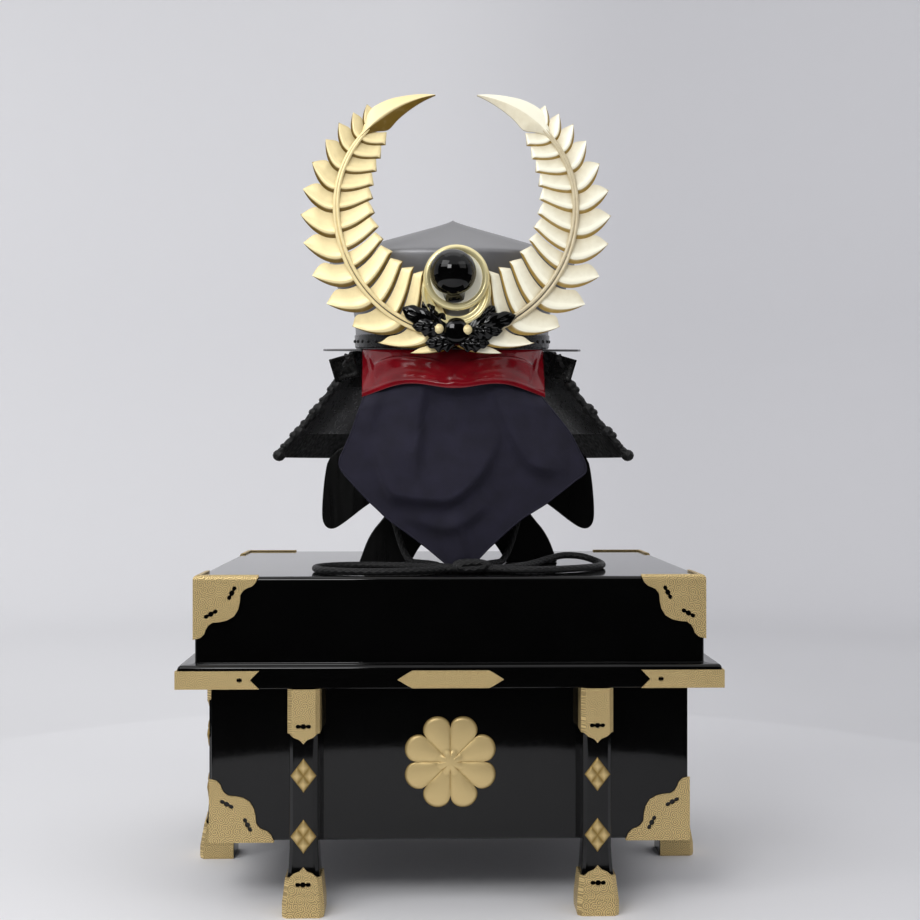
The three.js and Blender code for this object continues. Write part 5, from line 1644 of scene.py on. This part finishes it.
    def leaves(self) -> None:
        """Makes the black leaves at the fronds' meeting, and the boss that they spring from."""
        work = Patchwork()
        for root, tip, full, lift in (
            ((-4, 0), (-54, 26), 13, 7), ((6, 0), (59, 19), 12, 7), ((0, -8), (-31, -9), 9, 6),
            ((2, -8), (33, -9), 9, 6), ((-12, 6), (-44, 8), 9, 9), ((14, 4), (46, 3), 9, 9),
            ((-20, 12), (-33, 33), 7, 6), ((24, 12), (38, 28), 7, 6),
        ):
            self.carved_leaf(work, root, tip, full, lift)
        profile = [(0.001, 0.0), (13.0, 0.0), (14.0, 2.5), (11.0, 7.5), (6.0, 9.5), (0.001, 10.4)]
        work.grid(revolve(profile, (self.x, self.front_y - SEAT, self.stem_bottom + 3), 40, 26), rings=True)
        work.build("crest_carved_leaves", Dress.CREST_BLACK, "crest_black", ("crest_leaves",), crease=70)
        buds = Patchwork()
        for across, up in ((-17.5, 5.0), (10.5, 4.0)):
            profile = [(0.001, 2.0), (4.4, 2.4), (5.2, 6.0), (3.7, 9.4), (1.6, 11.0), (0.001, 11.5)]
            centre = (self.x + across, self.front_y - SEAT, self.stem_bottom + up)
            buds.grid(revolve(profile, centre, 28, 24), rings=True)
        buds.build("crest_buds", Dress.FERN_DEEP, "fern_gilt", crease=70)

    def build(self) -> None:
        """Makes the crest's pieces and dresses the holder, which stays."""
        # The right frond wears the paler gilt copy, with the light it catches painted in.
        self.frond("fern_frond_right", 1, Dress.FERN_PAINTED_LIT, "fern_pale")
        self.frond("fern_frond_left", -1, Dress.FERN_DEEP, "fern_gilt")
        self.ring()
        self.ball()
        self.leaves()
        dress_nodes(["crest_holder"], Dress.BOWL)


# Kerchief


@dataclass
class Kerchief:
    """A square kerchief of navy cotton, tucked up under the visor so that one corner hangs to the lid."""

    helmet: Helmet
    half_width: float = 137.0
    lid_top: float = 316.0
    thickness: float = 0.9
    area: float = 0.0384

    def edges(self, down: np.ndarray) -> tuple[np.ndarray, np.ndarray]:
        """The left and right edge at each share of the drop, as shares of half_width."""
        table = [(0, -0.64, 0.63), (0.1, -0.67, 0.66), (0.28, -0.76, 0.87), (0.44, -0.86, 0.99), (0.49, -0.83, 1),
                 (0.66, -0.61, 0.68), (0.75, -0.48, 0.49), (0.89, -0.2, 0.26), (1, -0.005, 0.105)]
        keys = [row[0] for row in table]
        return tuple(np.interp(down, keys, [row[c] for row in table]) for c in (1, 2))

    def fold(self, x: np.ndarray, down: np.ndarray) -> np.ndarray:
        """How far the folds stand forward of the hanging cloth.

        Each fold is [its line through points of x and share of the drop, millimetres forward, width on its left or
        upper side, width on the other]. It is a bell across the line, wide on one side and steep on the other, and
        fades out at the line's ends.
        """
        folds = [
            ([(-0.2, -0.1), (-0.27, 0.25), (-0.3, 0.55)], 9.0, 0.05, 0.2),
            ([(-0.62, 0.3), (-0.42, 0.62), (-0.08, 0.64), (0.2, 0.5), (0.34, 0.3)], 13.0, 0.26, 0.045),
            ([(0.3, 0.06), (0.42, 0.3), (0.62, 0.46), (0.86, 0.47)], 8.0, 0.16, 0.045),
            ([(-0.02, 0.7), (0.04, 0.86), (0.08, 1.0)], 6.0, 0.05, 0.1),
            ([(-0.4, 0.72), (-0.05, 0.78), (0.3, 0.64)], 5.0, 0.1, 0.04),
            ([(0.02, 0.0), (0.02, 0.3)], 3.0, 0.12, 0.06),
            ([(-0.56, 0.0), (-0.64, 0.3)], 4.0, 0.05, 0.1),
        ]
        total = np.zeros(np.broadcast(x, down).shape)
        for route, depth, before, after in folds:
            keyed = [(float(k), *at) for k, at in enumerate(route)]
            line = even_line(through(keyed, np.linspace(0, len(route) - 1, 60)), 40)
            step = np.linalg.norm(line[1] - line[0])
            ahead = np.gradient(line, axis=0)
            ahead /= np.linalg.norm(ahead, axis=1, keepdims=True)
            gap = np.stack([x, down], axis=-1)[..., None, :] - line
            near = np.linalg.norm(gap, axis=-1).argmin(axis=-1)
            chosen = np.take_along_axis(gap, near[..., None, None], axis=-2)[..., 0, :]
            side = ahead[near, 0] * chosen[..., 1] - ahead[near, 1] * chosen[..., 0]
            past = ahead[near, 0] * chosen[..., 0] + ahead[near, 1] * chosen[..., 1]
            reached = np.clip(near + past / step, -20, 60)
            fade = eased(np.minimum(reached + 2, 41 - reached) / 12)
            total += depth * fade * bell(side, np.where(side < 0, before, after))
        return total

    def surface(self, rows: int, columns: int) -> np.ndarray:
        """The cloth's front: a row for each share of the drop, from the visor to the lid."""
        down, across = np.meshgrid(np.linspace(0, 1, rows), np.linspace(-1, 1, columns), indexing="ij")
        left, right = self.edges(down)
        x = left + (right - left) * (across + 1) / 2
        pinned = self.helmet.visor_point(np.clip(x * self.half_width / self.helmet.visor_lip, -1, 1), 0 * x + 0.62)
        hang = self.helmet.y - self.helmet.rim_half_depth - 12 + 26 * x * x
        settle = eased(down / 0.16)
        y = pinned[..., 1] + SEAT + (hang - pinned[..., 1] - SEAT) * settle - self.fold(x, down) * settle
        top = pinned[..., 2] - 4 * SEAT
        z = top + (self.lid_top + SEAT - top) * down
        return np.stack([self.helmet.x + x * self.half_width, y, z], axis=-1)

    def build(self) -> None:
        front = self.surface(150, 130)
        back = front + [0.0, self.thickness, 0.0]
        flat = front[..., [0, 2]] * 0.001
        uv = np.concatenate([flat, flat[:, ::-1]], axis=1)
        work = Patchwork()
        work.grid(slab(front, back), rings=True, capped=True, uv=uv)
        cloth = work.build("kerchief_cloth", Dress.CLOTH, "cloth", ("kerchief",), crease=80)
        hem = Patchwork()
        for side in (0, -1):
            line = even_line(front[8:, side][::6], 170) + [0.0, self.thickness / 2, 0.0]
            points, along = tube(line, 1.1, 8, squash=0.9)
            hem.grid(points, rings=True, capped=True, uv=along)
        hem = hem.build("kerchief_hem", Dress.CLOTH, "cloth", crease=80)


def main() -> None:
    """Builds the scene: the camera and the cords first, then each sub-assembly."""
    logging.basicConfig(level=logging.INFO, format="%(name)s %(message)s")
    Studio().build()
    ChinCord().build()
    Chest().build()
    Stand().build()
    helmet = Helmet()
    helmet.build()
    FernCrest().build()
    Kerchief(helmet).build()


if __name__ == "__main__":
    main()
